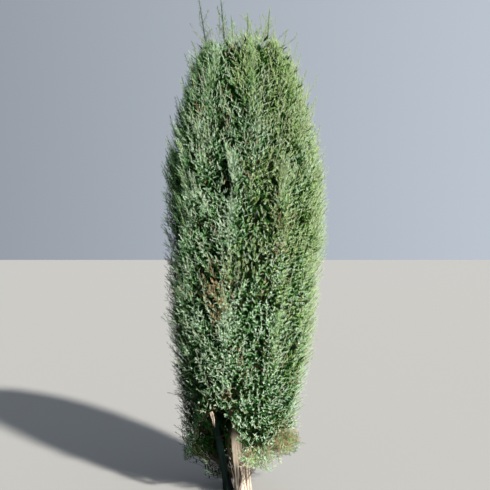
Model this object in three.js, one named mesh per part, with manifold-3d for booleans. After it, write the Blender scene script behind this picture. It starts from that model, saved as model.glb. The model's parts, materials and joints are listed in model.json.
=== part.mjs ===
// A Swedish juniper: a dense, narrow conifer that grows from one root as an upright trunk with a
// thinner side stem and a broken stub beside it. Its foliage is a blunt column of overlapping
// upright plumes, from close to the ground to a flat top with thin leaders standing above it.
// Each plume is one stem with a dense heart of foliage, three-sided twigs and toothed sprays.
// Millimetres, +Z up, the ground at z = 0 and the front of the plant towards -Y.

import * as THREE from "three";
import { mergeVertices } from "three/addons/utils/BufferGeometryUtils.js";
import Module from "manifold-3d";

const wasm = await Module();
wasm.setup();

const { clamp, degToRad, lerp } = THREE.MathUtils;

// Golden steps spread things evenly round a stem.
const GOLDEN = 0.618034;

// A repeatable number from 0 to 1 for the k-th draw of one kind.
const SEED = 4.7;
function scatter(k, kind) {
  const wave = Math.sin(k * 12.9898 + kind * 78.233 + SEED) * 43758.5453;
  return wave - Math.floor(wave);
}

// The crown is a blunt spindle, a little lobed, and widest above its middle height.
const CROWN_RADIUS = 522;
const CROWN_WIDEST = 1650;
const CROWN_TOP = 3000;
const CROWN_SHIFT = 24;
const FOOT_SHIFT = 34;
const FOOT_SHIFT_HEIGHT = 1600;
const TOP_ROUNDING = 0.45;
const FOOT_TAPER = 0.35;
const LOBE_SHARE = 0.035;

function sway(z) {
  return CROWN_SHIFT * Math.sin((Math.PI * z) / CROWN_TOP);
}

function crownCentre(z) {
  const aside = FOOT_SHIFT * Math.max(0, 1 - (z / FOOT_SHIFT_HEIGHT) ** 2);
  return new THREE.Vector3(sway(z) - aside, 0, z);
}

function crownRadius(z, turn) {
  const up = clamp((z - CROWN_WIDEST) / (CROWN_TOP - CROWN_WIDEST), 0, 1);
  const down = clamp((CROWN_WIDEST - z) / CROWN_WIDEST, 0, 1);
  const taper = (1 - up ** 2.2) ** TOP_ROUNDING * (1 - FOOT_TAPER * down ** 1.3);
  const lobes = 1 + LOBE_SHARE * Math.sin(3 * turn + z / 260) * Math.sin(5 * turn - z / 410);
  return CROWN_RADIUS * taper * lobes;
}

// The underside of the crown, which is raised at the front left, where the stems show.
const CROWN_FOOT = 190;
const OPENING_RISE = 400;
const OPENING_TURN = degToRad(-113);
const OPENING_SHARPNESS = 8;
const HEM_RISE = 220;
const HEM_TURN = degToRad(-25);
const HEM_SHARPNESS = 3;

function crownFoot(turn) {
  const facing = Math.max(0, Math.cos(turn - OPENING_TURN));
  const lifted = Math.max(0, Math.cos(turn - HEM_TURN));
  return CROWN_FOOT + OPENING_RISE * facing ** OPENING_SHARPNESS + HEM_RISE * lifted ** HEM_SHARPNESS;
}

// The trunk bows to the left over its lower part, then follows the middle of the crown.
const TRUNK_TOP = 2500;
const TRUNK_BOW = 60;
const BOW_HEIGHT = 1100;
const TRUNK_FOOT_RADIUS = 36;
const TRUNK_TIP_RADIUS = 9;
const TRUNK_FLARE = 18;
const FLARE_HEIGHT = 70;
const FLUTE_SHARE = 0.08;

function trunkCentre(z) {
  const bow = TRUNK_BOW * Math.sin(Math.PI * Math.min(1, z / BOW_HEIGHT));
  return new THREE.Vector3(sway(z) - bow, 0, z);
}

function trunkRadius(z) {
  const taper = (TRUNK_FOOT_RADIUS - TRUNK_TIP_RADIUS) * Math.max(0, 1 - z / TRUNK_TOP) ** 0.9;
  return TRUNK_TIP_RADIUS + taper + TRUNK_FLARE * Math.exp(-z / FLARE_HEIGHT);
}

// The side stem leans to the left and a little forward, up to where it enters the foliage.
const SIDE_STEM_TOP = 560;
const SIDE_STEM_FOOT = new THREE.Vector3(-92, 50, 0);
const SIDE_STEM_TIP = new THREE.Vector3(-196, -80, SIDE_STEM_TOP);

function sideStemCentre(z) {
  return new THREE.Vector3().lerpVectors(SIDE_STEM_FOOT, SIDE_STEM_TIP, z / SIDE_STEM_TOP);
}

function sideStemRadius(z) {
  return 17 + 9 * (1 - z / SIDE_STEM_TOP) + 11 * Math.exp(-z / 60);
}

// The stub is what is left of a third stem, broken off just above the ground.
const STUB_TOP = 262;
const STUB_FOOT = new THREE.Vector3(42, -14, 0);
const STUB_TIP = new THREE.Vector3(27, -14, STUB_TOP);

function stubCentre(z) {
  return new THREE.Vector3().lerpVectors(STUB_FOOT, STUB_TIP, z / STUB_TOP);
}

function stubRadius(z) {
  return 16 + 8 * (1 - z / STUB_TOP);
}

// Turns a shape into one with shared vertices and only positions.
function bare(geometry) {
  geometry.deleteAttribute("normal");
  geometry.deleteAttribute("uv");
  return mergeVertices(geometry, 1e-4);
}

// Moves every vertex of a shape to where the place function puts it.
function mould(geometry, place) {
  const at = geometry.attributes.position;
  const v = new THREE.Vector3();
  for (let i = 0; i < at.count; i++) {
    const moved = place(v.fromBufferAttribute(at, i));
    at.setXYZ(i, moved.x, moved.y, moved.z);
  }
  return geometry;
}

function solidOf(geometry) {
  const vertProperties = new Float32Array(geometry.attributes.position.array);
  const triVerts = new Uint32Array(geometry.index.array);
  return new wasm.Manifold(new wasm.Mesh({ numProp: 3, vertProperties, triVerts }));
}

function geometryOf(solid) {
  const mesh = solid.getMesh();
  const geometry = new THREE.BufferGeometry();
  geometry.setAttribute("position", new THREE.BufferAttribute(mesh.vertProperties, 3));
  return geometry.setIndex(new THREE.BufferAttribute(mesh.triVerts, 1));
}

// An upright limb with level rings, so that its foot is a flat cut on the ground.
const LIMB_SIDES = 10;
function limb({ centre, radius, top, rings, extra = 0, slant = 0 }) {
  const shape = bare(new THREE.CylinderGeometry(1, 1, 1, LIMB_SIDES, rings));
  return solidOf(mould(shape, (v) => {
    const z = (top + 2 * extra) * (v.y + 0.5);
    const angle = Math.atan2(v.z, v.x);
    const flutes = 1 + FLUTE_SHARE * Math.sin(3 * angle + z / 240);
    const reach = Math.hypot(v.x, v.z) * (radius(z) * flutes + extra);
    const lift = slant * Math.sin(angle) * Math.hypot(v.x, v.z) * (z / top) ** 4;
    return centre(z).add(new THREE.Vector3(reach * Math.cos(angle), -reach * Math.sin(angle), lift));
  }));
}

const CLEARANCE = 0.3;
const TRUNK = { centre: trunkCentre, radius: trunkRadius, top: TRUNK_TOP, rings: 18 };
const SIDE_STEM = { centre: sideStemCentre, radius: sideStemRadius, top: SIDE_STEM_TOP, rings: 7 };
const STUB = { centre: stubCentre, radius: stubRadius, top: STUB_TOP, rings: 3, slant: 14 };
const LIMBS = [TRUNK, SIDE_STEM, STUB];

const trunk = limb(TRUNK);
const trunkRoom = limb({ ...TRUNK, extra: CLEARANCE });
const sideStem = limb(SIDE_STEM).subtract(trunkRoom);
const sideStemRoom = limb({ ...SIDE_STEM, extra: CLEARANCE });
const stub = limb(STUB).subtract(trunkRoom);
const stubRoom = limb({ ...STUB, extra: CLEARANCE });

// The plumes stand in three overlapping rings. Each has its own heights, depth under the surface
// of the crown at its foot and tip, width, and height over which its stem swings out.
const RINGS = [
  { name: "skirt", count: 8, turn: -60, seat: 70, to: 1330, depth: [170, 60], width: 150, rise: 260 },
  { name: "flank", count: 9, turn: -100, seat: 540, from: 930, to: 2160, depth: [180, 50], width: 165, rise: 560 },
  { name: "shoulder", count: 8, turn: -82, seat: 1300, from: 1740, to: 2870, depth: [165, 45], width: 150, rise: 560 },
];
const SEAT_STEP = 130;
const LENGTH_SCATTER = 190;

// The leaders: the side each stands on, how far out its tip is, its height, and its own seat.
const LEADERS = [
  { turn: 177, out: 275, to: 3158, seat: 2120 },
  { turn: -143, out: 168, to: 3168, seat: 2240 },
  { turn: 122, out: 135, to: 3085, seat: 2170 },
  { turn: -60, out: 70, to: 3062, seat: TRUNK_TOP },
  { turn: 6, out: 178, to: 3112, seat: 2290 },
  { turn: 63, out: 200, to: 3020, seat: 2060 },
];
const LEADER_FROM = 2560;
const LEADER_RISE = 520;
const LEADER_WIDTH = 105;
const LEADER_DENSE_TOP = 2930;

const PATH_STEPS = 12;
const STEM_RADIUS = 11;
const LONGEST_BARE_STEM = 140;

// The line of a plume's stem: it leaves its limb, swings out, then follows the crown's surface.
function stemPoint(plume, z) {
  const swing = Math.sin((Math.PI / 2) * clamp((z - plume.seat) / plume.rise, 0, 1));
  const up = clamp((z - plume.from) / (plume.to - plume.from), 0, 1);
  const depth = lerp(plume.depth[0], plume.depth[1], up * up);
  const out = plume.out ? plume.out * lerp(0.72, 1, up) : crownRadius(z, plume.turn) - depth;
  const centre = plume.limb.centre(Math.min(z, plume.limb.top));
  const there = crownCentre(z);
  there.x += out * Math.cos(plume.turn);
  there.y += out * Math.sin(plume.turn);
  centre.z = z;
  return centre.lerp(there, swing);
}

// How thick the plume's foliage is meant to be at a height: nothing but the stem below it.
function plumeWidth(plume, z) {
  const up = (z - plume.from) / (plume.denseTop - plume.from);
  if (up <= 0 || up >= 1) return STEM_RADIUS;
  return STEM_RADIUS + (plume.width - STEM_RADIUS) * Math.sin(Math.PI * up ** 0.85) ** 0.55;
}

function planPlumes() {
  const plumes = [];
  RINGS.forEach((ring, r) => {
    for (let i = 0; i < ring.count; i++) {
      const turn = degToRad(ring.turn + (360 * i) / ring.count);
      const lift = LENGTH_SCATTER * (((i * GOLDEN + 0.4 * r) % 1) - 0.5);
      const to = ring.to + lift;
      const from = ring.from ? ring.from + lift : crownFoot(turn) - 20;
      const seat = ring.seat + SEAT_STEP * ((i * GOLDEN) % 1);
      plumes.push({
        ...ring,
        name: `${ring.name}_${i + 1}`,
        turn,
        limb: TRUNK,
        seat: ring.from ? seat : Math.max(seat, from - LONGEST_BARE_STEM),
        from,
        to,
        denseTop: to - 40,
      });
    }
  });
  LEADERS.forEach((leader, i) => {
    plumes.push({
      ...leader,
      name: `leader_${i + 1}`,
      turn: degToRad(leader.turn),
      limb: TRUNK,
      from: LEADER_FROM,
      depth: [0, 0],
      width: LEADER_WIDTH,
      rise: LEADER_RISE,
      denseTop: LEADER_DENSE_TOP,
      leader: true,
    });
  });
  return plumes;
}

const plumes = planPlumes();

// One plume of the skirt grows on from the tip of the side stem.
const SIDE_STEM_PLUME = "skirt_7";
const carried = plumes.find((plume) => plume.name === SIDE_STEM_PLUME);
Object.assign(carried, { limb: SIDE_STEM, seat: SIDE_STEM_TOP, from: SIDE_STEM_TOP - 20 });

for (const plume of plumes) {
  plume.knots = [];
  for (let i = 0; i <= PATH_STEPS; i++) {
    const z = lerp(plume.seat, plume.to, i / PATH_STEPS);
    plume.knots.push({ at: stemPoint(plume, z), width: plumeWidth(plume, z) });
  }
  plume.path = new THREE.CatmullRomCurve3(plume.knots.map((knot) => knot.at));
}

// How far a point lies outside the foliage that a plume is meant to fill.
function distanceTo(plume, p) {
  let least = Infinity;
  for (let i = 1; i < plume.knots.length; i++) {
    const a = plume.knots[i - 1];
    const b = plume.knots[i];
    const along = b.at.clone().sub(a.at);
    const share = clamp(p.clone().sub(a.at).dot(along) / along.lengthSq(), 0, 1);
    const nearest = a.at.clone().addScaledVector(along, share);
    least = Math.min(least, nearest.distanceTo(p) - lerp(a.width, b.width, share));
  }
  return least;
}

// True where a point is nearer to this plume than to any other, by a margin on each side.
function isOwn(plume, p, margin) {
  const own = distanceTo(plume, p);
  return plumes.every((other) => other === plume || distanceTo(other, p) - own > 2 * margin);
}

const LEADER_ROOM = 50;
function inCrown(plume, p, fringe) {
  const centre = crownCentre(p.z);
  const turn = Math.atan2(p.y - centre.y, p.x - centre.x);
  const out = Math.hypot(p.x - centre.x, p.y - centre.y);
  if (p.z > crownFoot(turn) + fringe / 2 && out < crownRadius(p.z, turn) - fringe) return true;
  return Boolean(plume.leader) && fringe < 0 && distanceTo(plume, p) < LEADER_ROOM;
}

function clearOfLimbs(p, margin) {
  return LIMBS.every(({ centre, radius, top }) => {
    if (p.z > top + margin) return true;
    const middle = centre(p.z);
    return Math.hypot(p.x - middle.x, p.y - middle.y) > radius(p.z) * (1 + FLUTE_SHARE) + margin;
  });
}

// How far one can go from a point of the stem before leaving the plume's own space.
const STEP = 6;
function roomAlong(plume, from, direction, most, { margin, fringe }) {
  for (let reach = STEP; reach <= most; reach += STEP) {
    const p = from.clone().addScaledVector(direction, reach);
    if (!inCrown(plume, p, fringe) || !isOwn(plume, p, margin) || !clearOfLimbs(p, margin)) {
      return reach - STEP;
    }
  }
  return most;
}

// Two directions across a stem, the first one facing out of the crown.
function across(plume, share) {
  const tangent = plume.path.getTangent(share);
  const out = new THREE.Vector3(Math.cos(plume.turn), Math.sin(plume.turn), 0);
  out.addScaledVector(tangent, -out.dot(tangent)).normalize();
  return { tangent, out, side: new THREE.Vector3().crossVectors(out, tangent) };
}

// Where the foliage begins, as a share of the stem's line.
function foliageStart(plume) {
  return clamp((plume.from - plume.seat) / (plume.to - plume.seat), 0.02, 0.9);
}

function foliageEnd(plume) {
  return (plume.denseTop - plume.seat) / (plume.to - plume.seat);
}

const STEM_SIDES = 4;
const STEM_RINGS = 7;
function stemSolid(plume, extra = 0) {
  const shape = bare(new THREE.CylinderGeometry(1, 1, 1, STEM_SIDES, STEM_RINGS));
  return solidOf(mould(shape, (v) => {
    const share = v.y + 0.5;
    const { out, side } = across(plume, share);
    const radius = lerp(STEM_RADIUS, 3, share) + extra;
    const p = plume.path.getPoint(share);
    return p.addScaledVector(out, v.x * radius).addScaledVector(side, v.z * radius);
  }));
}

// The dense heart of a plume, which fills its space up to a fringe that is left to the sprays.
const HEART_SIDES = 7;
const HEART_RINGS = 7;
const HEART_FRINGE = 60;
const HEART_MARGIN = 3;
const HEART_LUMPS = 0.12;
function heartSolid(plume, extra = 0) {
  const shape = bare(new THREE.SphereGeometry(1, HEART_SIDES, HEART_RINGS));
  const start = foliageStart(plume);
  const end = foliageEnd(plume);
  return solidOf(mould(shape, (v) => {
    const share = lerp(start, end, clamp((v.y + 1) / 2, 0.02, 0.98));
    const { out, side } = across(plume, share);
    const p = plume.path.getPoint(share);
    const width = Math.hypot(v.x, v.z);
    if (width < 1e-6) return p;
    const direction = new THREE.Vector3().addScaledVector(out, v.x / width).addScaledVector(side, v.z / width);
    const most = plume.width * 1.15;
    const rule = { margin: HEART_MARGIN, fringe: HEART_FRINGE };
    const lump = 1 - HEART_LUMPS * scatter(Math.round(7 * v.x + 11 * v.z + 29 * v.y), plume.turn);
    const room = Math.max(roomAlong(plume, p, direction, most, rule) * lump, STEM_RADIUS + 4);
    return p.addScaledVector(direction, room * Math.min(1, width * 1.25) + extra);
  }));
}

// A three-sided twig with a sharp end.
function twigSolid(from, to, radius) {
  const shape = bare(new THREE.ConeGeometry(1, 1, 3, 1));
  const along = to.clone().sub(from);
  const turned = new THREE.Quaternion().setFromUnitVectors(new THREE.Vector3(0, 1, 0), along.clone().normalize());
  return solidOf(mould(shape, (v) => {
    const p = new THREE.Vector3(v.x * radius, 0, v.z * radius).applyQuaternion(turned);
    return p.add(from).addScaledVector(along, v.y + 0.5);
  }));
}

// A spray of needles as a toothed blade: the outline's points as shares of its length.
const TEETH = 2;
const TOOTH_REACH = 0.22;
const NOTCH_REACH = 0.07;
const SPRAY_THICKNESS = 0.06;
function sprayOutline() {
  const half = [];
  for (let k = 0; k < TEETH; k++) {
    const along = 0.4 + 0.3 * k;
    half.push([along, TOOTH_REACH - 0.03 * k], [along + 0.09, NOTCH_REACH]);
  }
  const back = half.map(([along, reach]) => [along, -reach]).reverse();
  return [[0, 0], ...half, [1, 0], ...back];
}

const SPRAY_OUTLINE = sprayOutline();
const SPRAY_MIDDLE = 0.45;
function sprayPoint({ root, direction, flat, length }, v) {
  const count = SPRAY_OUTLINE.length;
  const face = new THREE.Vector3().crossVectors(direction, flat);
  if (Math.abs(v.y) > 0.5) {
    const p = root.clone().addScaledVector(direction, SPRAY_MIDDLE * length);
    return p.addScaledVector(face, (-Math.sign(v.y) * SPRAY_THICKNESS * length) / 2);
  }
  const index = (Math.round((Math.atan2(v.z, -v.x) / (2 * Math.PI)) * count) + count) % count;
  const [along, reach] = SPRAY_OUTLINE[index];
  return root.clone().addScaledVector(direction, along * length).addScaledVector(flat, reach * length);
}

function spraySolid(spray) {
  return solidOf(mould(bare(new THREE.SphereGeometry(1, SPRAY_OUTLINE.length, 2)), (v) => sprayPoint(spray, v)));
}

// A spray is kept if its whole outline stays in the plume's own space, clear of the limbs.
const SPRAY_MARGIN = 2;
function sprayFits(plume, { root, direction, flat, length }) {
  return SPRAY_OUTLINE.every(([along, reach]) => {
    const p = root.clone().addScaledVector(direction, along * length).addScaledVector(flat, reach * length);
    return isOwn(plume, p, SPRAY_MARGIN) && clearOfLimbs(p, SPRAY_MARGIN) && p.z > SPRAY_MARGIN;
  });
}

// The broad side of a spray faces out of the crown.
function flatOf(plume, at, direction) {
  const centre = crownCentre(at.z);
  const out = new THREE.Vector3(at.x - centre.x, at.y - centre.y, 0).normalize();
  return new THREE.Vector3().crossVectors(direction, out).normalize();
}

// The largest body of a fused mass. Loose scraps are dropped.
function largest(solid) {
  const bodies = solid.decompose();
  return bodies.reduce((best, body) => (body.volume() > best.volume() ? body : best));
}

// The stems are whole. A heart gives way to every other stem and to the hearts made before it.
const limbRooms = [trunkRoom, sideStemRoom, stubRoom];
const stemRooms = plumes.map((plume) => stemSolid(plume, 2 * CLEARANCE));
const heartRooms = plumes.map((plume) => heartSolid(plume, 2 * CLEARANCE));

function bodySolid(plume, k) {
  const otherStems = stemRooms.filter((_, j) => j !== k);
  const barred = wasm.Manifold.union([...otherStems, ...heartRooms.slice(0, k)]);
  const heart = heartSolid(plume).subtract(barred);
  const stem = stemSolid(plume);
  return largest(stem.add(heart).subtract(wasm.Manifold.union(limbRooms)));
}

// The twigs of a plume: golden steps round the outer side of the stem, each with a spray that
// stands out of the heart and turns up beside the stem, and every other one with a side spray.
// A spray takes the length it has room for. What would touch a limb or a plume is left out.
const TWIGS = 7;
const LEADER_TWIGS = 4;
const FAN = 78;
const TWIG_LEAN = degToRad(52);
const SPRAY_LEAN = [degToRad(40), degToRad(24)];
const SIDE_TURN = 0.5;
const SPRAY_LENGTH = 195;
const SIDE_SHARE = 0.7;
const TWIG_RADIUS = 6;
const LEAST_SHARE = 0.5;
const ROOT_DEPTH = 22;
const SPRAY_FRINGE = -24;

function leaning(frame, fan, lean) {
  const direction = new THREE.Vector3().addScaledVector(frame.tangent, Math.cos(lean));
  direction.addScaledVector(frame.out, Math.sin(lean) * Math.cos(fan));
  return direction.addScaledVector(frame.side, Math.sin(lean) * Math.sin(fan));
}

function growTwigs(plume, barred) {
  const grown = [];
  const start = foliageStart(plume);
  const end = foliageEnd(plume);
  const keep = (solid) => {
    if (barred.intersect(solid).isEmpty()) grown.push(solid);
  };
  const addSpray = (root, direction, most) => {
    const rule = { margin: SPRAY_MARGIN, fringe: SPRAY_FRINGE };
    const room = roomAlong(plume, root, direction, most, rule);
    if (room < LEAST_SHARE * most) return;
    const spray = { root, direction, flat: flatOf(plume, root, direction), length: room };
    if (sprayFits(plume, spray)) keep(spraySolid(spray));
  };
  const twigs = plume.leader ? LEADER_TWIGS : TWIGS;
  for (let i = 0; i < twigs; i++) {
    const along = (i + 0.4) / twigs;
    const share = lerp(start, end, along);
    const frame = across(plume, share);
    const fan = degToRad(lerp(-FAN, FAN, (i * GOLDEN + scatter(i, plume.turn)) % 1));
    const from = plume.path.getPoint(share);
    const outward = leaning(frame, fan, TWIG_LEAN);
    const rule = { margin: HEART_MARGIN, fringe: HEART_FRINGE };
    const room = roomAlong(plume, from, outward, plume.width, rule);
    const root = from.clone().addScaledVector(outward, Math.max(room - ROOT_DEPTH, 0));
    const direction = leaning(frame, fan, lerp(...SPRAY_LEAN, along));
    keep(twigSolid(from, root.clone().addScaledVector(direction, 2 * ROOT_DEPTH), TWIG_RADIUS));
    addSpray(root, direction, SPRAY_LENGTH);
    if (i % 3) continue;
    const turned = direction.clone().addScaledVector(frame.side, fan > 0 ? -SIDE_TURN : SIDE_TURN);
    addSpray(root, turned.normalize(), SIDE_SHARE * SPRAY_LENGTH);
  }
  growTip(plume, end, addSpray);
  return grown;
}

// The tip of a plume ends in one spray. A leader carries smaller ones on its bare upper part.
const LEADER_SPRAYS = 3;
function growTip(plume, end, addSpray) {
  const { tangent, side } = across(plume, 1);
  const tip = plume.path.getPoint(1);
  addSpray(tip.addScaledVector(tangent, -40), tangent, plume.leader ? 48 : 100);
  if (!plume.leader) return;
  for (let i = 0; i < LEADER_SPRAYS; i++) {
    const at = plume.path.getPoint(lerp(end, 1, (i + 0.7) / (LEADER_SPRAYS + 0.4)));
    const turned = tangent.clone().addScaledVector(side, i % 2 ? 0.5 : -0.5).normalize();
    addSpray(at.addScaledVector(turned, -6), turned, 0.45 * SPRAY_LENGTH);
  }
}

function massSolids() {
  const bodies = plumes.map(bodySolid);
  const finished = [];
  plumes.forEach((plume, k) => {
    const later = [...stemRooms.slice(k + 1), ...heartRooms.slice(k + 1)];
    const barred = wasm.Manifold.union([...limbRooms, ...later, ...finished]);
    finished.push(largest(wasm.Manifold.union([bodies[k], ...growTwigs(plume, barred)])));
  });
  return finished;
}

// Finishes: weathered grey bark on the limbs, blue-green foliage on the plumes.
const barkFinish = new THREE.MeshStandardMaterial({ color: 0x8f8272, roughness: 0.95, metalness: 0 });
const foliageFinish = new THREE.MeshStandardMaterial({ color: 0x4d6a45, roughness: 0.75, metalness: 0 });
const leaderFinish = new THREE.MeshStandardMaterial({ color: 0x6b7d48, roughness: 0.75, metalness: 0 });

function piece(name, solid, material) {
  const mesh = new THREE.Mesh(geometryOf(solid), material);
  mesh.name = name;
  return mesh;
}

const juniper = new THREE.Group();
juniper.add(piece("trunk", trunk, barkFinish));
juniper.add(piece("side_stem", sideStem, barkFinish));
juniper.add(piece("broken_stub", stub, barkFinish));
const masses = massSolids();
plumes.forEach((plume, k) => {
  juniper.add(piece(plume.name, masses[k], plume.leader ? leaderFinish : foliageFinish));
});

export default juniper;
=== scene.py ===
import json
import math

import bpy
import numpy as np
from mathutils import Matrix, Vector, kdtree

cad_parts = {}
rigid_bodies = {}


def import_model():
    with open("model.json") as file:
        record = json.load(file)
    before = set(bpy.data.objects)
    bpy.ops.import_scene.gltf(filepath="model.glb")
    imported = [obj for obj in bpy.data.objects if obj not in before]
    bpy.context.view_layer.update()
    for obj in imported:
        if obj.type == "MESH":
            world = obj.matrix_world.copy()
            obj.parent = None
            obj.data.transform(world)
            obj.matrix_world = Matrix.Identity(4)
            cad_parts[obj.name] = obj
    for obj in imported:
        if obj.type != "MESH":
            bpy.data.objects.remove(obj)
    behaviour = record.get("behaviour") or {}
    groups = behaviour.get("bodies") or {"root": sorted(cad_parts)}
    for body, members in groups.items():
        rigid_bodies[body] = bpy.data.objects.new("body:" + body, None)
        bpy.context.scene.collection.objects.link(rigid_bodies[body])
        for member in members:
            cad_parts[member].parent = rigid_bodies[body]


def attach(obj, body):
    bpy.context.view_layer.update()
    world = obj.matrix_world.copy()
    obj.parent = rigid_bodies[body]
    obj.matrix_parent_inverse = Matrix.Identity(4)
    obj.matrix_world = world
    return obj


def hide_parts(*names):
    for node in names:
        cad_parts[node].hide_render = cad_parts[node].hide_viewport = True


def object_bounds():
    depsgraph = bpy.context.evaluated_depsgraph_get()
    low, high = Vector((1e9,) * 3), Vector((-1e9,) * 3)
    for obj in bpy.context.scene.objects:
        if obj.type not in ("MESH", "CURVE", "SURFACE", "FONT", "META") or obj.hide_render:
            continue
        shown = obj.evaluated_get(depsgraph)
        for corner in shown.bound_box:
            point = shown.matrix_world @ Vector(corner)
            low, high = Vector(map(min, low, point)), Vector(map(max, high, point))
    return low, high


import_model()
cad_box = [list(corner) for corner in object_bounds()]


# The view. A level camera at the eye level of a standing adult, a little over four metres in
# front of the tree, with the middle of its picture a hair below the horizon.
EYE_HEIGHT = 1.6
VIEW_DISTANCE = 4.37
VIEW_ASIDE = 0.016
LENS = 49.96
SENSOR_WIDTH = 36
VIEW_SHIFT = -0.004

camera = bpy.data.objects.new("camera", bpy.data.cameras.new("camera"))
bpy.context.scene.collection.objects.link(camera)
camera.location = (VIEW_ASIDE, -VIEW_DISTANCE, EYE_HEIGHT)
camera.rotation_euler = (math.radians(90), 0, 0)
camera.data.lens = LENS
camera.data.sensor_width = SENSOR_WIDTH
camera.data.shift_y = VIEW_SHIFT
bpy.context.scene.camera = camera


# The stage. A plain pale floor under a pale sky that is dimmer on the left, a warm key light from
# the front right, as high as an afternoon sun, and a narrow warm light that falls on the stems
# under the foliage.
def plain_material(name, colour, roughness, gloss=0.5):
    material = bpy.data.materials.new(name)
    material.use_nodes = True
    shader = material.node_tree.nodes["Principled BSDF"]
    shader.inputs["Base Color"].default_value = (*colour, 1)
    shader.inputs["Roughness"].default_value = roughness
    shader.inputs["Specular IOR Level"].default_value = gloss
    return material


def mesh_object(name, points, faces, material=None, smooth=False):
    mesh = bpy.data.meshes.new(name)
    mesh.from_pydata(points, [], faces)
    mesh.validate()
    if smooth:
        mesh.shade_smooth()
    if material:
        mesh.materials.append(material)
    piece = bpy.data.objects.new(name, mesh)
    bpy.context.scene.collection.objects.link(piece)
    return piece


def add_node(tree, kind, inputs=(), **settings):
    """A new node in a tree, with some of its settings and inputs filled in."""
    node = tree.nodes.new(kind)
    for name, value in settings.items():
        setattr(node, name, value)
    for name, value in dict(inputs).items():
        node.inputs[name].default_value = value
    return node


def wire(tree, *pairs):
    """Links each node's output to a socket."""
    for output, socket in pairs:
        tree.links.new(output, socket)


FLOOR_REACH = 60
FLOOR_CORNERS = [(-1, -1), (1, -1), (1, 1), (-1, 1)]
floor_points = [(x * FLOOR_REACH, y * FLOOR_REACH, 0) for x, y in FLOOR_CORNERS]
floor_paint = plain_material("floor_paint", (0.27, 0.27, 0.262), 0.9)
floor = mesh_object("floor", floor_points, [(0, 1, 2, 3)], floor_paint)

SKY_COLOUR = (0.80, 0.88, 1.0)
SKY_LEFT = 0.16
SKY_RIGHT = 0.86
world = bpy.data.worlds.new("sky")
bpy.context.scene.world = world
world.use_nodes = True
sky = world.node_tree
background = sky.nodes["Background"]
background.inputs["Color"].default_value = (*SKY_COLOUR, 1)
sky_direction = add_node(sky, "ShaderNodeTexCoord")
sky_side = add_node(sky, "ShaderNodeSeparateXYZ")
sky_range = {"From Min": -1, "To Min": SKY_LEFT, "To Max": SKY_RIGHT}
sky_strength = add_node(sky, "ShaderNodeMapRange", sky_range)
wire(
    sky,
    (sky_direction.outputs["Generated"], sky_side.inputs["Vector"]),
    (sky_side.outputs["X"], sky_strength.inputs["Value"]),
    (sky_strength.outputs["Result"], background.inputs["Strength"]),
)

SUN_TURN = math.radians(43)
SUN_RISE = math.radians(36)
SUN_STRENGTH = 9.2
SUN_WIDTH = math.radians(4)
sun = bpy.data.objects.new("key_light", bpy.data.lights.new("key_light", "SUN"))
bpy.context.scene.collection.objects.link(sun)
sun.data.energy = SUN_STRENGTH
sun.data.angle = SUN_WIDTH
sun.data.color = (1.0, 0.955, 0.885)
sun.rotation_euler = (math.pi / 2 - SUN_RISE, 0, SUN_TURN)

FOOT_LIGHT_AT = (-0.35, -4.2, 0.9)
FOOT_LIGHT_AIM = (0.0, 0, 0.275)
FOOT_LIGHT_POWER = 560
FOOT_LIGHT_SPREAD = math.radians(4.0)
FOOT_LIGHT_BLEND = 0.5
FOOT_LIGHT_SIZE = 0.05
foot_light = bpy.data.objects.new("foot_light", bpy.data.lights.new("foot_light", "SPOT"))
bpy.context.scene.collection.objects.link(foot_light)
foot_light.data.energy = FOOT_LIGHT_POWER
foot_light.data.color = (1.0, 0.93, 0.82)
foot_light.data.spot_size = FOOT_LIGHT_SPREAD
foot_light.data.spot_blend = FOOT_LIGHT_BLEND
foot_light.data.shadow_soft_size = FOOT_LIGHT_SIZE
foot_light.location = FOOT_LIGHT_AT
beam = Vector(FOOT_LIGHT_AIM) - Vector(FOOT_LIGHT_AT)
foot_light.rotation_euler = beam.to_track_quat("-Z", "Y").to_euler()

bpy.context.scene.view_settings.view_transform = "Standard"


# Trunk, side stem and broken stub. Living wood under thin grey bark, which weathers into long
# upright fibres and strips. Each limb grows out of the ground with a flare, and the trunk runs on
# up inside the foliage. Their radii are given at the tip, and by how much they spread to the foot.
CROWN_TOP = 3.0
CROWN_SHIFT = 0.024
TRUNK_TOP = 2.5
TRUNK_BOW = 0.06
TRUNK_BOW_TOP = 1.1
SIDE_STEM_TOP = 0.56
STUB_TOP = 0.262
STRIP_EDGE = 0.0016


def ramp(value, start, width):
    """Rises evenly from 0 at its start to 1, over a width."""
    return np.clip((value - start) / width, 0, 1)


def wrapped(angle):
    """The same angle, from half a turn back to half a turn on."""
    return (angle + math.pi) % (2 * math.pi) - math.pi


def sway(z):
    """How far to the right the trunk and the crown's axis stand at a height."""
    return CROWN_SHIFT * np.sin(np.pi * z / CROWN_TOP)


def trunk_centre(z):
    z = np.asarray(z, float)
    bow = TRUNK_BOW * np.sin(np.pi * np.minimum(1, z / TRUNK_BOW_TOP))
    return np.stack([sway(z) - bow, 0 * z, z], -1)


def straight(foot, tip):
    """The middle line of a straight limb, from its foot to its tip."""
    foot, tip = np.array(foot), np.array(tip)

    def centre(z):
        share = np.asarray(z, float)[..., None] / tip[2]
        return foot + (tip - foot) * share

    return centre


def flared(tip_radius, spread, flare, flare_height, top, power=1.0):
    """The radius of a limb, which thickens from its tip down and flares at the ground."""

    def radius(z):
        below = np.maximum(0, 1 - z / top) ** power
        return tip_radius + spread * below + flare * np.exp(-z / flare_height)

    return radius


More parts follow.
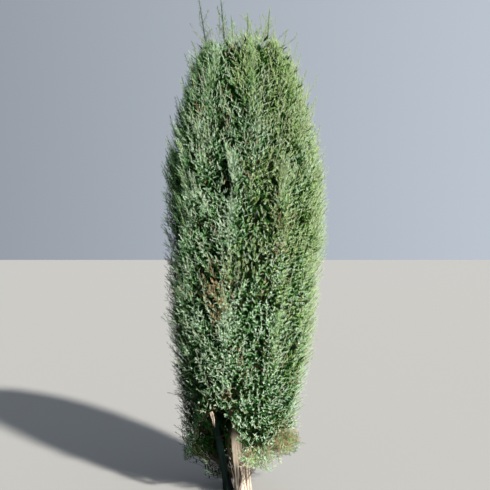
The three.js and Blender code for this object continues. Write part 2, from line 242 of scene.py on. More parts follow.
side_stem_centre = straight((-0.092, 0.05, 0), (-0.196, -0.08, SIDE_STEM_TOP))
stub_centre = straight((0.042, -0.014, 0), (0.027, -0.014, STUB_TOP))
LIMBS = {
    "trunk": dict(
        centre=trunk_centre,
        radius=flared(0.009, 0.027, flare=0.018, flare_height=0.07, top=TRUNK_TOP, power=0.9),
        top=TRUNK_TOP,
    ),
    "side_stem": dict(
        centre=side_stem_centre,
        radius=flared(0.017, 0.009, flare=0.011, flare_height=0.06, top=SIDE_STEM_TOP),
        top=SIDE_STEM_TOP,
    ),
    "broken_stub": dict(
        centre=stub_centre,
        radius=flared(0.013, 0.004, flare=0.007, flare_height=0.05, top=STUB_TOP),
        top=STUB_TOP,
    ),
}


def bark_strips(angle, z, radius, count, seed):
    """How far the layered strips of bark stand out, in metres, at points round and up a limb."""
    draw = np.random.default_rng(seed)
    high = np.zeros_like(z)
    top = z.max()
    for _ in range(count):
        middle = draw.uniform(-math.pi, math.pi)
        half = draw.uniform(0.003, 0.009)
        start = draw.uniform(-0.1, top)
        end = start + draw.uniform(0.06, 0.35)
        thick = draw.uniform(0.0008, 0.0028)
        wander = 0.12 * np.sin(z / draw.uniform(0.05, 0.16) + draw.uniform(0, 6))
        aside = np.abs(wrapped(angle - middle - wander)) * radius
        across = ramp(half - aside, 0, STRIP_EDGE)
        along = ramp(z, start, 0.012) * ramp(end - z, 0, 0.02)
        high = np.maximum(high, 0) + thick * across * along * 0.7
    fibres = 0.0005 * np.sin(angle * 31 + 3 * np.sin(z * 17)) + 0.0004 * np.sin(angle * 57 + z * 40)
    return high + fibres


def bark_limb(name, centre, radius, top, strips, seed, sides=120, frayed=0.0):
    """A limb of closed rings of points, with its bark's relief in its shape and as an attribute."""
    levels = np.concatenate([np.linspace(0, min(top, 0.75), 150), np.linspace(0.75, top, 60)[1:]])
    levels = levels[levels <= top]
    angle = np.linspace(-math.pi, math.pi, sides, endpoint=False)
    turn, z = np.meshgrid(angle, levels)
    flutes = 1 + 0.08 * np.sin(3 * turn + z / 0.24)
    relief = bark_strips(turn, z, radius(z), strips, seed)
    reach = radius(z) * flutes - 0.0015 + relief
    lift = np.zeros_like(z)
    if frayed:
        draw = np.random.default_rng(seed + 7)
        rim = draw.uniform(-1.5, 0.6, 26)
        lift = frayed * np.interp(turn, np.linspace(-math.pi, math.pi, len(rim)), rim) * (z / top) ** 6
        reach = reach * (1 - 0.35 * (z / top) ** 8)
    place = centre(z)
    x = place[..., 0] + reach * np.cos(turn)
    y = place[..., 1] + reach * np.sin(turn)
    ends = [centre(np.array(0.0)), centre(np.array(top)) + np.array([0, 0, -0.5 * frayed])]
    points = np.concatenate([np.stack([x, y, z + lift], -1).reshape(-1, 3), ends])
    rows = len(levels)
    index = np.arange(rows * sides).reshape(rows, sides)
    right = np.roll(index, -1, 1)
    quads = np.stack([index[:-1], right[:-1], right[1:], index[1:]], -1).reshape(-1, 4)
    foot, tip = rows * sides, rows * sides + 1
    caps = [(foot, int(b), int(a)) for a, b in zip(index[0], right[0])]
    caps += [(tip, int(a), int(b)) for a, b in zip(index[-1], right[-1])]
    limb = mesh_object(name, points.tolist(), quads.tolist() + caps, smooth=True)
    mask = np.append(ramp(relief, 0, STRIP_EDGE), [0.5, 0.5]).astype(np.float32)
    limb.data.attributes.new("relief", "FLOAT", "POINT").data.foreach_set("value", mask)
    return limb


def make_bark_grain():
    """The grain that every bark here shares, as one group of nodes. Its fibres are stretched along the limb,
    its tone is lighter where they and the relief stand out, and a painted shade darkens it above a height."""
    group = bpy.data.node_groups.new("bark_grain", "ShaderNodeTree")
    group.interface.new_socket(name="Place", in_out="INPUT", socket_type="NodeSocketVector")
    for label in ("Relief", "Stain From", "Stain To", "Stain"):
        group.interface.new_socket(name=label, in_out="INPUT", socket_type="NodeSocketFloat")
    for label in ("Tone", "Fibre", "Stained"):
        group.interface.new_socket(name=label, in_out="OUTPUT", socket_type="NodeSocketFloat")
    given = add_node(group, "NodeGroupInput")
    result = add_node(group, "NodeGroupOutput")
    stretch = add_node(group, "ShaderNodeMapping", {"Scale": (1, 1, 0.06)})
    fibre = add_node(group, "ShaderNodeTexNoise", {"Scale": 85, "Detail": 5})
    patches = add_node(group, "ShaderNodeTexNoise", {"Scale": 9, "Detail": 3})
    blend = add_node(group, "ShaderNodeMath", {1: 1.6}, operation="MULTIPLY_ADD")
    scale = add_node(group, "ShaderNodeMath", {1: 0.415}, operation="MULTIPLY")
    raised = add_node(group, "ShaderNodeMath", {1: 0.20}, operation="MULTIPLY_ADD")
    height = add_node(group, "ShaderNodeSeparateXYZ")
    painted_shade_factor = add_node(group, "ShaderNodeMapRange", {"To Min": 1})
    wire(
        group,
        (given.outputs["Place"], stretch.inputs["Vector"]),
        (stretch.outputs["Vector"], fibre.inputs["Vector"]),
        (given.outputs["Place"], patches.inputs["Vector"]),
        (fibre.outputs["Fac"], blend.inputs[0]),
        (patches.outputs["Fac"], blend.inputs[2]),
        (blend.outputs["Value"], scale.inputs[0]),
        (given.outputs["Relief"], raised.inputs[0]),
        (scale.outputs["Value"], raised.inputs[2]),
        (given.outputs["Place"], height.inputs["Vector"]),
        (height.outputs["Z"], painted_shade_factor.inputs["Value"]),
        (given.outputs["Stain From"], painted_shade_factor.inputs["From Min"]),
        (given.outputs["Stain To"], painted_shade_factor.inputs["From Max"]),
        (given.outputs["Stain"], painted_shade_factor.inputs["To Max"]),
        (raised.outputs["Value"], result.inputs["Tone"]),
        (fibre.outputs["Fac"], result.inputs["Fibre"]),
        (painted_shade_factor.outputs["Result"], result.inputs["Stained"]),
    )
    return group


bark_grain = make_bark_grain()


def bark_material(name, pale, dark, stain_from=9.0, stain=1.0):
    """Grey weathered bark: the shared grain, dark in its cracks, in this bark's own two colours, and darker
    above a given height by a painted shade.
    """
    material = plain_material(name, pale, 0.9, gloss=0.2)
    tree = material.node_tree
    shader = tree.nodes["Principled BSDF"]
    place = add_node(tree, "ShaderNodeTexCoord")
    relief = add_node(tree, "ShaderNodeAttribute", attribute_name="relief")
    painted_shade_range = {"Stain From": stain_from, "Stain To": stain_from + 0.1, "Stain": stain}
    grain = add_node(tree, "ShaderNodeGroup", painted_shade_range, node_tree=bark_grain)
    tones = add_node(tree, "ShaderNodeValToRGB")
    for stop, position, colour in zip(tones.color_ramp.elements, (0.47, 0.64), (dark, pale)):
        stop.position = position
        stop.color = (*colour, 1)
    bump = add_node(tree, "ShaderNodeBump", {"Strength": 0.8, "Distance": 0.0025})
    shade = add_node(tree, "ShaderNodeVectorMath", operation="SCALE")
    wire(
        tree,
        (place.outputs["Object"], grain.inputs["Place"]),
        (relief.outputs["Fac"], grain.inputs["Relief"]),
        (grain.outputs["Tone"], tones.inputs["Fac"]),
        (tones.outputs["Color"], shade.inputs[0]),
        (grain.outputs["Stained"], shade.inputs["Scale"]),
        (shade.outputs["Vector"], shader.inputs["Base Color"]),
        (grain.outputs["Fibre"], bump.inputs["Height"]),
        (bump.outputs["Normal"], shader.inputs["Normal"]),
    )
    return material


def hand_over(piece, nodes):
    """Fixes a finished piece to the body, in place of the solids that it dresses."""
    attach(piece, "root")
    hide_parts(*nodes)


# The trunk's bark turns dark above 0.3 m. This is a painted shade of the foliage that overhangs it.
pale_bark = bark_material(
    "pale_bark",
    pale=(0.60, 0.51, 0.41),
    dark=(0.040, 0.029, 0.022),
    stain_from=0.295,
    stain=0.12,
)
# The side stem's bark is a nearly black green all round, which is painted shade.
shaded_bark = bark_material("shaded_bark", (0.006, 0.020, 0.016), (0.002, 0.007, 0.006))
LIMB_BARK = {
    "trunk": dict(strips=150, seed=11),
    "side_stem": dict(strips=50, seed=23, sides=90),
    "broken_stub": dict(strips=24, seed=35, sides=72, frayed=0.03),
}
for limb_name, limb_sizes in LIMBS.items():
    limb = bark_limb(limb_name + "_bark", **limb_sizes, **LIMB_BARK[limb_name])
    limb.data.materials.append(shaded_bark if limb_name == "side_stem" else pale_bark)
    hand_over(limb, [limb_name])


# Peeling bark. One loose strip has come away from the trunk's left side near the ground. It is
# thin and stiff, bows outwards, and is still held at its lower end.
STRIP_STEPS = 14
STRIP_WIDTH = 0.017
STRIP_THICKNESS = 0.003
STRIP_BOW = 0.006
STRIP_CORNERS = [(-1, -1), (1, -1), (1, 1), (-1, 1)]


def bark_strip(name, foot, tip):
    """A closed, four-sided strip that narrows towards its tip."""
    share = np.linspace(0, 1, STRIP_STEPS)
    middle = np.array(foot) + (np.array(tip) - np.array(foot)) * share[:, None]
    middle[:, 0] += STRIP_BOW * np.sin(math.pi * share) + 0.0015 * np.sin(17 * share)
    half = STRIP_WIDTH / 2 * (1 - 0.55 * share**2) * (1 + 0.15 * np.sin(23 * share))
    points = []
    for (x, y, z), reach in zip(middle, half):
        for a, b in STRIP_CORNERS:
            points.append((x + 0.35 * reach * a, y + reach * a + STRIP_THICKNESS / 2 * b, z))
    faces = [(3, 2, 1, 0), tuple(4 * STRIP_STEPS - 4 + c for c in range(4))]
    for row in range(STRIP_STEPS - 1):
        for c in range(4):
            d = (c + 1) % 4
            faces.append((4 * row + c, 4 * row + d, 4 * row + 4 + d, 4 * row + 4 + c))
    return mesh_object(name, points, faces, pale_bark)


strip = bark_strip("peeling_bark", (-0.054, -0.012, 0.035), (-0.082, -0.02, 0.205))
hand_over(strip, ["trunk"])


# The crown and its plumes. The foliage is one dense column, widest a little above half its
# height, flat at the top, and open at the front left of its foot. Each bough feeds one plume of
# it: its stem leaves a limb, swings out and follows the surface, and the plume fills the space.
GOLDEN = 0.618034
SEED = 4.7
CROWN_RADIUS = 0.522
CROWN_WIDEST = 1.65
FOOT_SHIFT = 0.034
FOOT_SHIFT_HEIGHT = 1.6
TOP_ROUNDING = 0.45
FOOT_TAPER = 0.35
LOBE_SHARE = 0.035
CROWN_FOOT = 0.19
OPENING_RISE = 0.4
OPENING_TURN = math.radians(-113)
OPENING_SHARPNESS = 8
HEM_RISE = 0.22
HEM_TURN = math.radians(-25)
HEM_SHARPNESS = 3


def scatter(k, kind):
    """A number from 0 to 1 for each k, the same at each run."""
    wave = np.sin(np.asarray(k) * 12.9898 + kind * 78.233 + SEED) * 43758.5453
    return wave - np.floor(wave)


def crown_centre(z):
    z = np.asarray(z, float)
    aside = FOOT_SHIFT * np.maximum(0, 1 - (z / FOOT_SHIFT_HEIGHT) ** 2)
    return np.stack([sway(z) - aside, 0 * z, z], -1)


def crown_radius(z, turn):
    """How far out from its axis the crown reaches, at a height and a way round."""
    up = ramp(z, CROWN_WIDEST, CROWN_TOP - CROWN_WIDEST)
    down = ramp(CROWN_WIDEST - z, 0, CROWN_WIDEST)
    taper = (1 - up**2.2) ** TOP_ROUNDING * (1 - FOOT_TAPER * down**1.3)
    lobes = 1 + LOBE_SHARE * np.sin(3 * turn + z / 0.26) * np.sin(5 * turn - z / 0.41)
    return CROWN_RADIUS * taper * lobes


def crown_foot(turn):
    """The height where the foliage starts: the opening and the hem at the right lift it."""
    facing = np.maximum(0, np.cos(turn - OPENING_TURN))
    lifted = np.maximum(0, np.cos(turn - HEM_TURN))
    return CROWN_FOOT + OPENING_RISE * facing**OPENING_SHARPNESS + HEM_RISE * lifted**HEM_SHARPNESS


def turn_and_out(points):
    """The way round the crown's axis and the distance from it."""
    off = points - crown_centre(points[..., 2])
    return np.arctan2(off[..., 1], off[..., 0]), np.hypot(off[..., 0], off[..., 1])


# A plume's stem leaves its limb at its seat, swings out over its rise, and ends at its top. Its
# foliage begins at its start. Turns are degrees round the tree, and -90 faces the camera.
RINGS = [
    dict(ring="skirt", count=8, turn=-60, seat=0.07, start=None, to=1.33, width=0.15, rise=0.26),
    dict(ring="flank", count=9, turn=-100, seat=0.54, start=0.93, to=2.16, width=0.165, rise=0.56),
    dict(ring="shoulder", count=8, turn=-82, seat=1.3, start=1.74, to=2.87, width=0.15, rise=0.56),
]
LEADERS = [
    dict(turn=177, out=0.275, to=3.158, seat=2.12),
    dict(turn=-143, out=0.168, to=3.168, seat=2.24),
    dict(turn=122, out=0.135, to=3.085, seat=2.17),
    dict(turn=-60, out=0.07, to=3.062, seat=TRUNK_TOP),
    dict(turn=6, out=0.178, to=3.112, seat=2.29),
    dict(turn=63, out=0.2, to=3.02, seat=2.06),
]
LEADER_SIZES = dict(ring="leader", start=2.56, dense=2.93, width=0.105, rise=0.52)
STEM_DEPTHS = dict(skirt=(0.17, 0.06), flank=(0.18, 0.05), shoulder=(0.165, 0.045), leader=(0, 0))
SIDE_STEM_PLUME = "skirt_7"
PATH_STEPS = 12
STEM_RADIUS = 0.011
LONGEST_BARE_STEM = 0.14

plumes = []
for r, ring in enumerate(RINGS):
    for i in range(ring["count"]):
        turn = math.radians(ring["turn"] + 360 * i / ring["count"])
        lift = 0.19 * ((i * GOLDEN + 0.4 * r) % 1 - 0.5)
        seat = ring["seat"] + 0.13 * ((i * GOLDEN) % 1)
        if ring["start"]:
            start = ring["start"] + lift
        else:
            start = float(crown_foot(turn)) - 0.02
            seat = max(seat, start - LONGEST_BARE_STEM)
        top = ring["to"] + lift
        sizes = dict(ring, turn=turn, seat=seat, start=start, to=top, dense=top - 0.04, out=None)
        plumes.append(dict(sizes, name=f"{ring['ring']}_{i + 1}", limb=(trunk_centre, TRUNK_TOP)))
for i, leader in enumerate(LEADERS):
    sizes = dict(LEADER_SIZES, **leader)
    sizes["turn"] = math.radians(leader["turn"])
    plumes.append(dict(sizes, name=f"leader_{i + 1}", limb=(trunk_centre, TRUNK_TOP)))
for plume in plumes:
    if plume["name"] == SIDE_STEM_PLUME:
        plume.update(limb=(side_stem_centre, SIDE_STEM_TOP), seat=SIDE_STEM_TOP)
        plume["start"] = SIDE_STEM_TOP - 0.02
RING_NAMES = ["skirt", "flank", "shoulder", "leader"]
ring_nodes = {ring: [p["name"] for p in plumes if p["ring"] == ring] for ring in RING_NAMES}


def stem_point(plume, z):
    """The line of a plume's stem: it leaves its limb, swings out, then follows the surface."""
    z = np.asarray(z, float)
    swing = np.sin(np.pi / 2 * ramp(z, plume["seat"], plume["rise"]))[..., None]
    up = ramp(z, plume["start"], plume["to"] - plume["start"])
    foot_depth, top_depth = STEM_DEPTHS[plume["ring"]]
    out = crown_radius(z, plume["turn"]) - (foot_depth + (top_depth - foot_depth) * up**2)
    if plume["out"]:
        out = plume["out"] * (0.72 + 0.28 * up)
    limb_centre, limb_top = plume["limb"]
    centre = limb_centre(np.minimum(z, limb_top))
    centre[..., 2] = z
    there = crown_centre(z)
    there[..., 0] += out * math.cos(plume["turn"])
    there[..., 1] += out * math.sin(plume["turn"])
    return centre * (1 - swing) + there * swing


def plume_width(plume, z):
    """How far a plume's foliage reaches from its stem at each height."""
    up = ramp(z, plume["start"], plume["dense"] - plume["start"])
    swell = np.maximum(np.sin(np.pi * up**0.85), 0) ** 0.55
    return STEM_RADIUS + (plume["width"] - STEM_RADIUS) * swell


for plume in plumes:
    knots = np.linspace(plume["seat"], plume["to"], PATH_STEPS + 1)
    plume["knots"] = stem_point(plume, knots)
    plume["widths"] = plume_width(plume, knots)


def distances(points):
    """How far each point lies outside the foliage that each plume is meant to fill."""
    flat = points.reshape(-1, 3)
    found = np.empty((len(plumes), len(flat)))
    for k, plume in enumerate(plumes):
        a, b = plume["knots"][:-1], plume["knots"][1:]
        along = b - a
        share = np.einsum("psk,sk->ps", flat[:, None] - a, along) / (along**2).sum(-1)
        share = np.clip(share, 0, 1)
        gap = np.linalg.norm(flat[:, None] - a - share[..., None] * along, axis=-1)
        wide = plume["widths"][:-1] * (1 - share) + plume["widths"][1:] * share
        found[k] = (gap - wide).min(1)
    return found.reshape(len(plumes), *points.shape[:-1])


def plume_at(point):
    """The number of the plume that a point lies in, or nearest to."""
    return int(distances(point[None])[:, 0].argmin())


def is_own(k, points, margin):
    """Whether points lie nearer to one plume than to any other, with a margin on each side."""
    found = distances(points)
    own = found[k].copy()
    found[k] = np.inf
    return found.min(0) - own > 2 * margin


# The surface of the foliage. It is made of rounded cushions of shoots with creases between them,
# and of a few deep upright furrows where two boughs part. Each furrow has its way round the crown
# in degrees, its lowest and highest level, half its width, and its depth.
CUSHIONS = 300
CREASE = 0.042
CREASE_WIDTH = 0.03
CUSHION_RATIO = 0.5
FURROW_END = 0.08
DENSE_TOP = 2.89
HIGHEST_LEVEL = 2.96
FURROWS = [
    (-104, 1.78, 2.14, 0.014, 0.10),
    (-106, 2.20, 2.40, 0.011, 0.085),
    (-98, 1.26, 1.60, 0.014, 0.10),
    (-90, 2.31, 2.44, 0.016, 0.10),
    (-76.5, 1.52, 1.84, 0.005, 0.05),
    (-127, 1.23, 1.48, 0.015, 0.10),
    (-137, 1.86, 2.10, 0.015, 0.10),
    (-86, 0.95, 1.16, 0.006, 0.06),
    (-31, 1.15, 1.72, 0.010, 0.07),
    (22, 1.90, 2.42, 0.012, 0.09),
    (61, 0.92, 1.50, 0.012, 0.09),
    (103, 1.48, 2.20, 0.014, 0.10),
    (150, 1.15, 1.80, 0.012, 0.09),
    (-166, 1.45, 2.05, 0.012, 0.09),
]
cushion_number = np.arange(CUSHIONS)
cushion_turn = 2 * math.pi * ((cushion_number * GOLDEN) % 1)
cushion_level = 0.12 + 3.0 * (cushion_number + 0.5) / CUSHIONS + 0.06 * (scatter(cushion_number, 61) - 0.5)


def cushions(points):
    """The nearest cushion to each point, and how deep the foliage's surface is pressed in there."""
    turn, out = turn_and_out(points)
    z = points[..., 2]
    aside = wrapped(turn[..., None] - cushion_turn)
    gap = np.hypot(aside * 0.48, CUSHION_RATIO * (z[..., None] - cushion_level))
    nearest = np.partition(gap, 1, axis=-1)
    depth = CREASE * np.exp(-(nearest[..., 1] - nearest[..., 0]) / CREASE_WIDTH)
    depth *= 1 - 0.6 * ramp(z, 2.1, 0.6)
    wander = 0.035 * np.sin(z / 0.07)
    for at, low, high, half, furrow_depth in FURROWS:
        off = np.abs(wrapped(turn - math.radians(at) - wander)) * out
        ends = ramp(z, low, FURROW_END) * ramp(high - z, 0, FURROW_END)
        depth = np.maximum(depth, furrow_depth * ends * np.clip(2 - off / half, 0, 1))
    return gap.argmin(-1), depth


def depth_under(points):
    """How deep points lie under the foliage's surface."""
    turn, out = turn_and_out(points)
    z = points[..., 2]
    under = np.minimum(crown_radius(np.minimum(z, HIGHEST_LEVEL), turn) - out, DENSE_TOP - z)
    return under - cushions(points)[1]


# Twigs and the places of the needle shoots. Thin brown twigs branch from each plume's stem in
# golden steps, run out through the heart and turn up near the surface. Shoots stand round the
# last stretch of each twig, and one ends it. Here and there a longer shoot stands out.
GOLDEN_ANGLE = 2.39996
UP = np.array([0, 0, 1])
TWIG_COUNT = dict(skirt=156, flank=176, shoulder=176, leader=72)
FAN = dict(skirt=92, flank=86, shoulder=92, leader=180)
TWIG_LEAN = math.radians(52)
HEM_LEAN = math.radians(75)
ELBOW_DEPTH = 0.07
LONGEST_UPTURN = 0.20
SHORTEST_UPTURN = 0.025
TWIG_STEPS = 4
TWIG_RADII = (0.0024, 0.0009)
STEM_POINTS = 26
STEM_TIP_RADIUS = 0.0010
SHOOT_STATIONS = 10
SHOOT_REACH = 0.135
SHOOT_RISE = 0.12
DEEPEST_SHOOT = 0.09
SHARED_ROOM = -0.022
FRINGE = 0.030
TOP_FRINGE = 0.012
LONG_SHOOT_SHARE = dict(skirt=0.11, flank=0.14, shoulder=0.22, leader=0.30)
STREAK_SHARE = dict(skirt=0.20, flank=0.22, shoulder=0.20, leader=0.10)
STREAK_LEAN = 0.42
RAY_STEP = 0.01

stem_lines = {ring: [] for ring in RING_NAMES}
twig_lines = {ring: [] for ring in RING_NAMES}
young_lines = {ring: [] for ring in RING_NAMES}
shoots = []


def unit(vectors):
    return vectors / np.linalg.norm(vectors, axis=-1, keepdims=True)


def in_crown(points, fringe):
    """Whether points lie deeper in the foliage than a fringe."""
    above = points[..., 2] > crown_foot(turn_and_out(points)[0]) + fringe / 2
    return above & (depth_under(points) > fringe)


def in_box(points, spare):
    """Whether points lie in the solids' box, or past it by less than a spare."""
    low, high = np.array(cad_box)
    return ((points > low - spare) & (points < high + spare)).all(-1)


def clear_of_limbs(points, margin):
    """Whether points lie outside the trunk, the side stem and the stub."""
    clear = np.ones(points.shape[:-1], bool)
    for limb in LIMBS.values():
        z = np.clip(points[..., 2], 0, limb["top"])
        off = points - limb["centre"](z)
        beside = np.hypot(off[..., 0], off[..., 1]) > limb["radius"](z) * 1.08 + margin
        clear &= beside | (points[..., 2] > limb["top"] + margin)
    return clear


def room_along(k, starts, directions, most, margin, fringe):
    """How far each ray can go before it leaves the plume's own space."""
    reach = np.arange(1, int(most / RAY_STEP) + 1) * RAY_STEP
    fringe = np.broadcast_to(fringe, len(starts))[:, None]
    points = starts[:, None] + directions[:, None] * reach[:, None]
    allowed = in_crown(points, fringe) & is_own(k, points, margin) & clear_of_limbs(points, margin)
    if plumes[k]["ring"] == "leader":
        allowed |= (distances(points)[k] < 0.03) & (points[..., 2] < DENSE_TOP)
    first = np.where(allowed.all(1), len(reach), allowed.argmin(1))
    return first * RAY_STEP


def frames(plume, z):
    """The stem's own direction at some heights, with the way out of the crown and sideways."""
    tangent = unit(stem_point(plume, z + 0.002) - stem_point(plume, z - 0.002))
    out = np.array([math.cos(plume["turn"]), math.sin(plume["turn"]), 0.0])
    out = unit(out - tangent * (tangent @ out)[..., None])
    return tangent, out, np.cross(out, tangent)


def leaning(frame_at, fan, lean):
    """Directions that lean off a stem by an angle, fanned out about it."""
    tangent, out, side = frame_at
    fan, lean = np.asarray(fan)[..., None], np.asarray(lean)[..., None]
    return tangent * np.cos(lean) + np.sin(lean) * (out * np.cos(fan) + side * np.sin(fan))


def spread_about(run, spin, open_angle):
    """Directions that lean off a line's run by an angle, each turned by its spin about it."""
    across = unit(np.cross(run, [0.0, 0.0, 1.0]) + 1e-6)
    over = np.cross(run, across)
    open_angle, spin = open_angle[:, None], spin[:, None]
    return run * np.cos(open_angle) + np.sin(open_angle) * (across * np.cos(spin) + over * np.sin(spin))


def tapered(line, root_radius, tip_radius):
    """A line with its thickness at each point."""
    return line, np.linspace(root_radius, tip_radius, len(line))


def arc(foot, tip, sag):
    """A line from one point to another, bent by a sideways sag."""
    share = np.linspace(0, 1, 6)[:, None]
    return foot + (tip - foot) * share + np.asarray(sag) * 4 * share * (1 - share)


def add_shoot(k, root, aim, size, depth, twig=None):
    """Keeps one shoot of a plume. Its depth and its twig's number set its colour later."""
    shoots.append((root, aim, size, k, depth, len(shoots) if twig is None else twig))


def add_fitting_shoots(k, root, aim, size, twig):
    """Keeps the shoots of one plume that end near its surface, inside the plume's own space."""
    aim = unit(aim)
    end = root + aim * size[:, None]
    depth = depth_under(end)
    furthest = FRINGE - (FRINGE - TOP_FRINGE) * ramp(end[:, 2], 1.85, 0.35)
    fits = is_own(k, end, SHARED_ROOM) & (depth > -furthest)
    if plumes[k]["ring"] == "leader":
        fits |= (distances(end)[k] < 0.045) & (end[:, 2] < DENSE_TOP + 0.02)
    fits &= (depth < DEEPEST_SHOOT) & in_box(end, 0.015)
    for j in np.flatnonzero(fits):
        add_shoot(k, root[j], aim[j], size[j], depth[j], twig[j])


def clothe(k, line, radii, size, spacing=0.011, open_angle=0.6, depth=0.0):
    """A bare twig with shoots all the way up it, which grow shorter towards its tip."""
    young_lines[plumes[k]["ring"]].append(tapered(line, *radii))
    step = np.linalg.norm(np.diff(line, axis=0), axis=-1)
    travelled = np.concatenate([[0], np.cumsum(step)])

    def points_at(distance):
        return np.stack([np.interp(distance, travelled, line[:, axis]) for axis in range(3)], -1)

    at = np.arange(0.004, travelled[-1], spacing)
    root = points_at(at)
    run = unit(points_at(np.minimum(at + 0.01, travelled[-1])) - points_at(np.maximum(at - 0.01, 0)))
    share = at / travelled[-1]
    m = np.arange(len(at))
    spin = GOLDEN_ANGLE * m + 6 * scatter(k, len(shoots) % 97)
    aim = spread_about(run, spin, open_angle * (0.75 + 0.5 * scatter(m, k + 5)))
    length = size * (1 - 0.35 * share) * (0.75 + 0.5 * scatter(m, k + 6))
    for j in m:
        add_shoot(k, root[j], aim[j], length[j], depth)
        if j % 2 == 0:
            add_shoot(k, root[j], run[j], 0.7 * size, depth)
    add_shoot(k, line[-1] - 0.5 * size * run[-1], run[-1], 0.9 * size, depth)


def on_twigs(source, elbow, tip, at):
    """Points on twigs that curve from their source, round an elbow, to their tip."""
    return (1 - at) ** 2 * source + 2 * at * (1 - at) * elbow + at**2 * tip


def clothe_twigs(k, source, elbow, tip):
    """Shoots round the last stretch of each of a plume's twigs, and one that ends it."""
    length = np.linalg.norm(tip - source, axis=-1)
    covered = np.minimum(SHOOT_REACH, 0.92 * length)
    m = np.arange(len(tip))
    for s in range(SHOOT_STATIONS + 1):
        share = s / SHOOT_STATIONS
        at = (1 - covered / length * (1 - share) * 0.97)[:, None]
        root = on_twigs(source, elbow, tip, at)
        run = unit(2 * (1 - at) * (elbow - source) + 2 * at * (tip - elbow))
        spin = GOLDEN_ANGLE * (s + 3 * m) + scatter(m, s)
        open_angle = math.radians(48 - 12 * share) if s < SHOOT_STATIONS else 0.0
        aim = spread_about(run, spin, open_angle + 0.2 * (scatter(m + 7 * s, k) - 0.5))
        aim[:, 2] += SHOOT_RISE
        size = (0.045 - 0.010 * share) * (0.75 + 0.5 * scatter(m + 13 * s, k + 20))
        size *= 1 - 0.22 * ramp(1.3 - root[:, 2], 0, 0.8)
        add_fitting_shoots(k, root, aim, size, 1000 * k + m)


def add_streaks(k, source, elbow, tip):
    """Long straight shoots beside the twigs, just under the surface, which show as pale streaks."""
    chance = scatter(np.arange(len(tip)), k + 60)
    for j in np.flatnonzero(chance < STREAK_SHARE[plumes[k]["ring"]]):
        root = 0.16 * source[j] + 0.48 * elbow[j] + 0.36 * tip[j]
        radial = unit(root - crown_centre(root[2]))
        around = np.array([-radial[1], radial[0], 0])
        aim = UP + STREAK_LEAN * radial + 0.35 * (scatter(j, k + 61) - 0.5) * around
        end = root + unit(aim) * (0.10 + 0.07 * scatter(j, k + 62))
        if -0.035 < depth_under(end) < 0.03 and in_box(end, 0.0) and end[2] < DENSE_TOP + 0.04:
            line = arc(root, end, 0.008 * around * math.cos(5 * j))
            clothe(k, line, (0.0016, 0.0008), size=0.026, spacing=0.009, open_angle=0.5)


def add_long_shoots(k, upward, tip):
    """Shoots that stand out of the surface by a few centimetres."""
    chance = scatter(np.arange(len(tip)), k + 55)
    for j in np.flatnonzero(chance < LONG_SHOOT_SHARE[plumes[k]["ring"]]):
        radial = unit(tip[j] - crown_centre(tip[j, 2]))
        aim = unit(upward[j] + 0.35 * UP + 0.25 * radial * scatter(j, k + 56))
        reach = 0.05 + (0.06 if tip[j, 2] > 2.2 else 0.03) * scatter(j, k + 57)
        end = tip[j] + aim * reach
        if depth_under(end) > -0.055 and in_box(end, 0.0) and end[2] < 3.03:
            sag = 0.006 * np.array([math.cos(9 * j), math.sin(9 * j), 0])
            clothe(k, arc(tip[j] - aim * 0.02, end, sag), (0.0012, 0.0006), size=0.024)


for k, plume in enumerate(plumes):
    ring = plume["ring"]
    i = np.arange(TWIG_COUNT[ring])
    along = ((i + 0.5) / len(i)) ** (1.3 if ring == "skirt" else 1)
    z = plume["start"] + (plume["dense"] - plume["start"]) * along
    frame_at = frames(plume, z)
    step = 2 * ((i * GOLDEN + scatter(k, 3)) % 1) - 1
    fan = np.radians(FAN[ring]) * np.sign(step) * np.abs(step) ** 1.15

    # Each twig runs out through the heart to an elbow, and turns up from there to the surface. In
    # the hem of the skirt it hangs lower. Where there is no room to turn up, it is left out.
    source = stem_point(plume, z)
    outward = leaning(frame_at, fan, TWIG_LEAN + 0.15 * (scatter(i, k) - 0.5))
    first = room_along(k, source, outward, plume["width"] * 1.3, 0.0, ELBOW_DEPTH)
    elbow = source + outward * first[:, None]
    lean = np.radians(40 - 17 * along) + 0.22 * (scatter(i, k + 40) - 0.5)
    if ring == "skirt":
        lean += HEM_LEAN * np.clip(1 - along / 0.2, 0, 1) * scatter(i, k + 41)
    upward = leaning(frame_at, fan, lean)
    tip_depth = 0.022 * (scatter(i, k + 80) - 0.4)
    second = room_along(k, elbow, upward, LONGEST_UPTURN, -0.012, tip_depth)
    keep = second > SHORTEST_UPTURN
    source, elbow, upward, second = source[keep], elbow[keep], upward[keep], second[keep]
    tip = elbow + upward * second[:, None]
    twigs = on_twigs(source, elbow, tip, np.linspace(0, 1, TWIG_STEPS + 1)[:, None, None])
    twig_lines[ring] += [tapered(twigs[:, j], *TWIG_RADII) for j in range(len(tip))]

    share = np.linspace(0, 1, STEM_POINTS)
    stem = stem_point(plume, np.linspace(plume["seat"], plume["to"], STEM_POINTS))
    root_radius = STEM_RADIUS * (1 - share) ** 0.8 * (0.6 if ring == "leader" else 1)
    stem_lines[ring].append((stem, root_radius + STEM_TIP_RADIUS))

    clothe_twigs(k, source, elbow, tip)
    add_streaks(k, source, elbow, tip)
    add_long_shoots(k, upward, tip)


# The leaders. Six thin green stems stand out above the crown, each on a bough of its own inside
# it. Short shoots clothe them to the tip, and five lesser shoots rise beside each.
LEADER_DEPTH = 0.035
LEADER_POINTS = 14
SIDE_SHOOTS = 5
LESSER_SHOOT = dict(radii=(0.0015, 0.0008), size=0.028, spacing=0.009, depth=LEADER_DEPTH)


def level_ways(spin):
    """The level directions away from the middle and round it."""
    away = np.array([math.cos(spin), math.sin(spin), 0])
    return away, np.array([-away[1], away[0], 0])


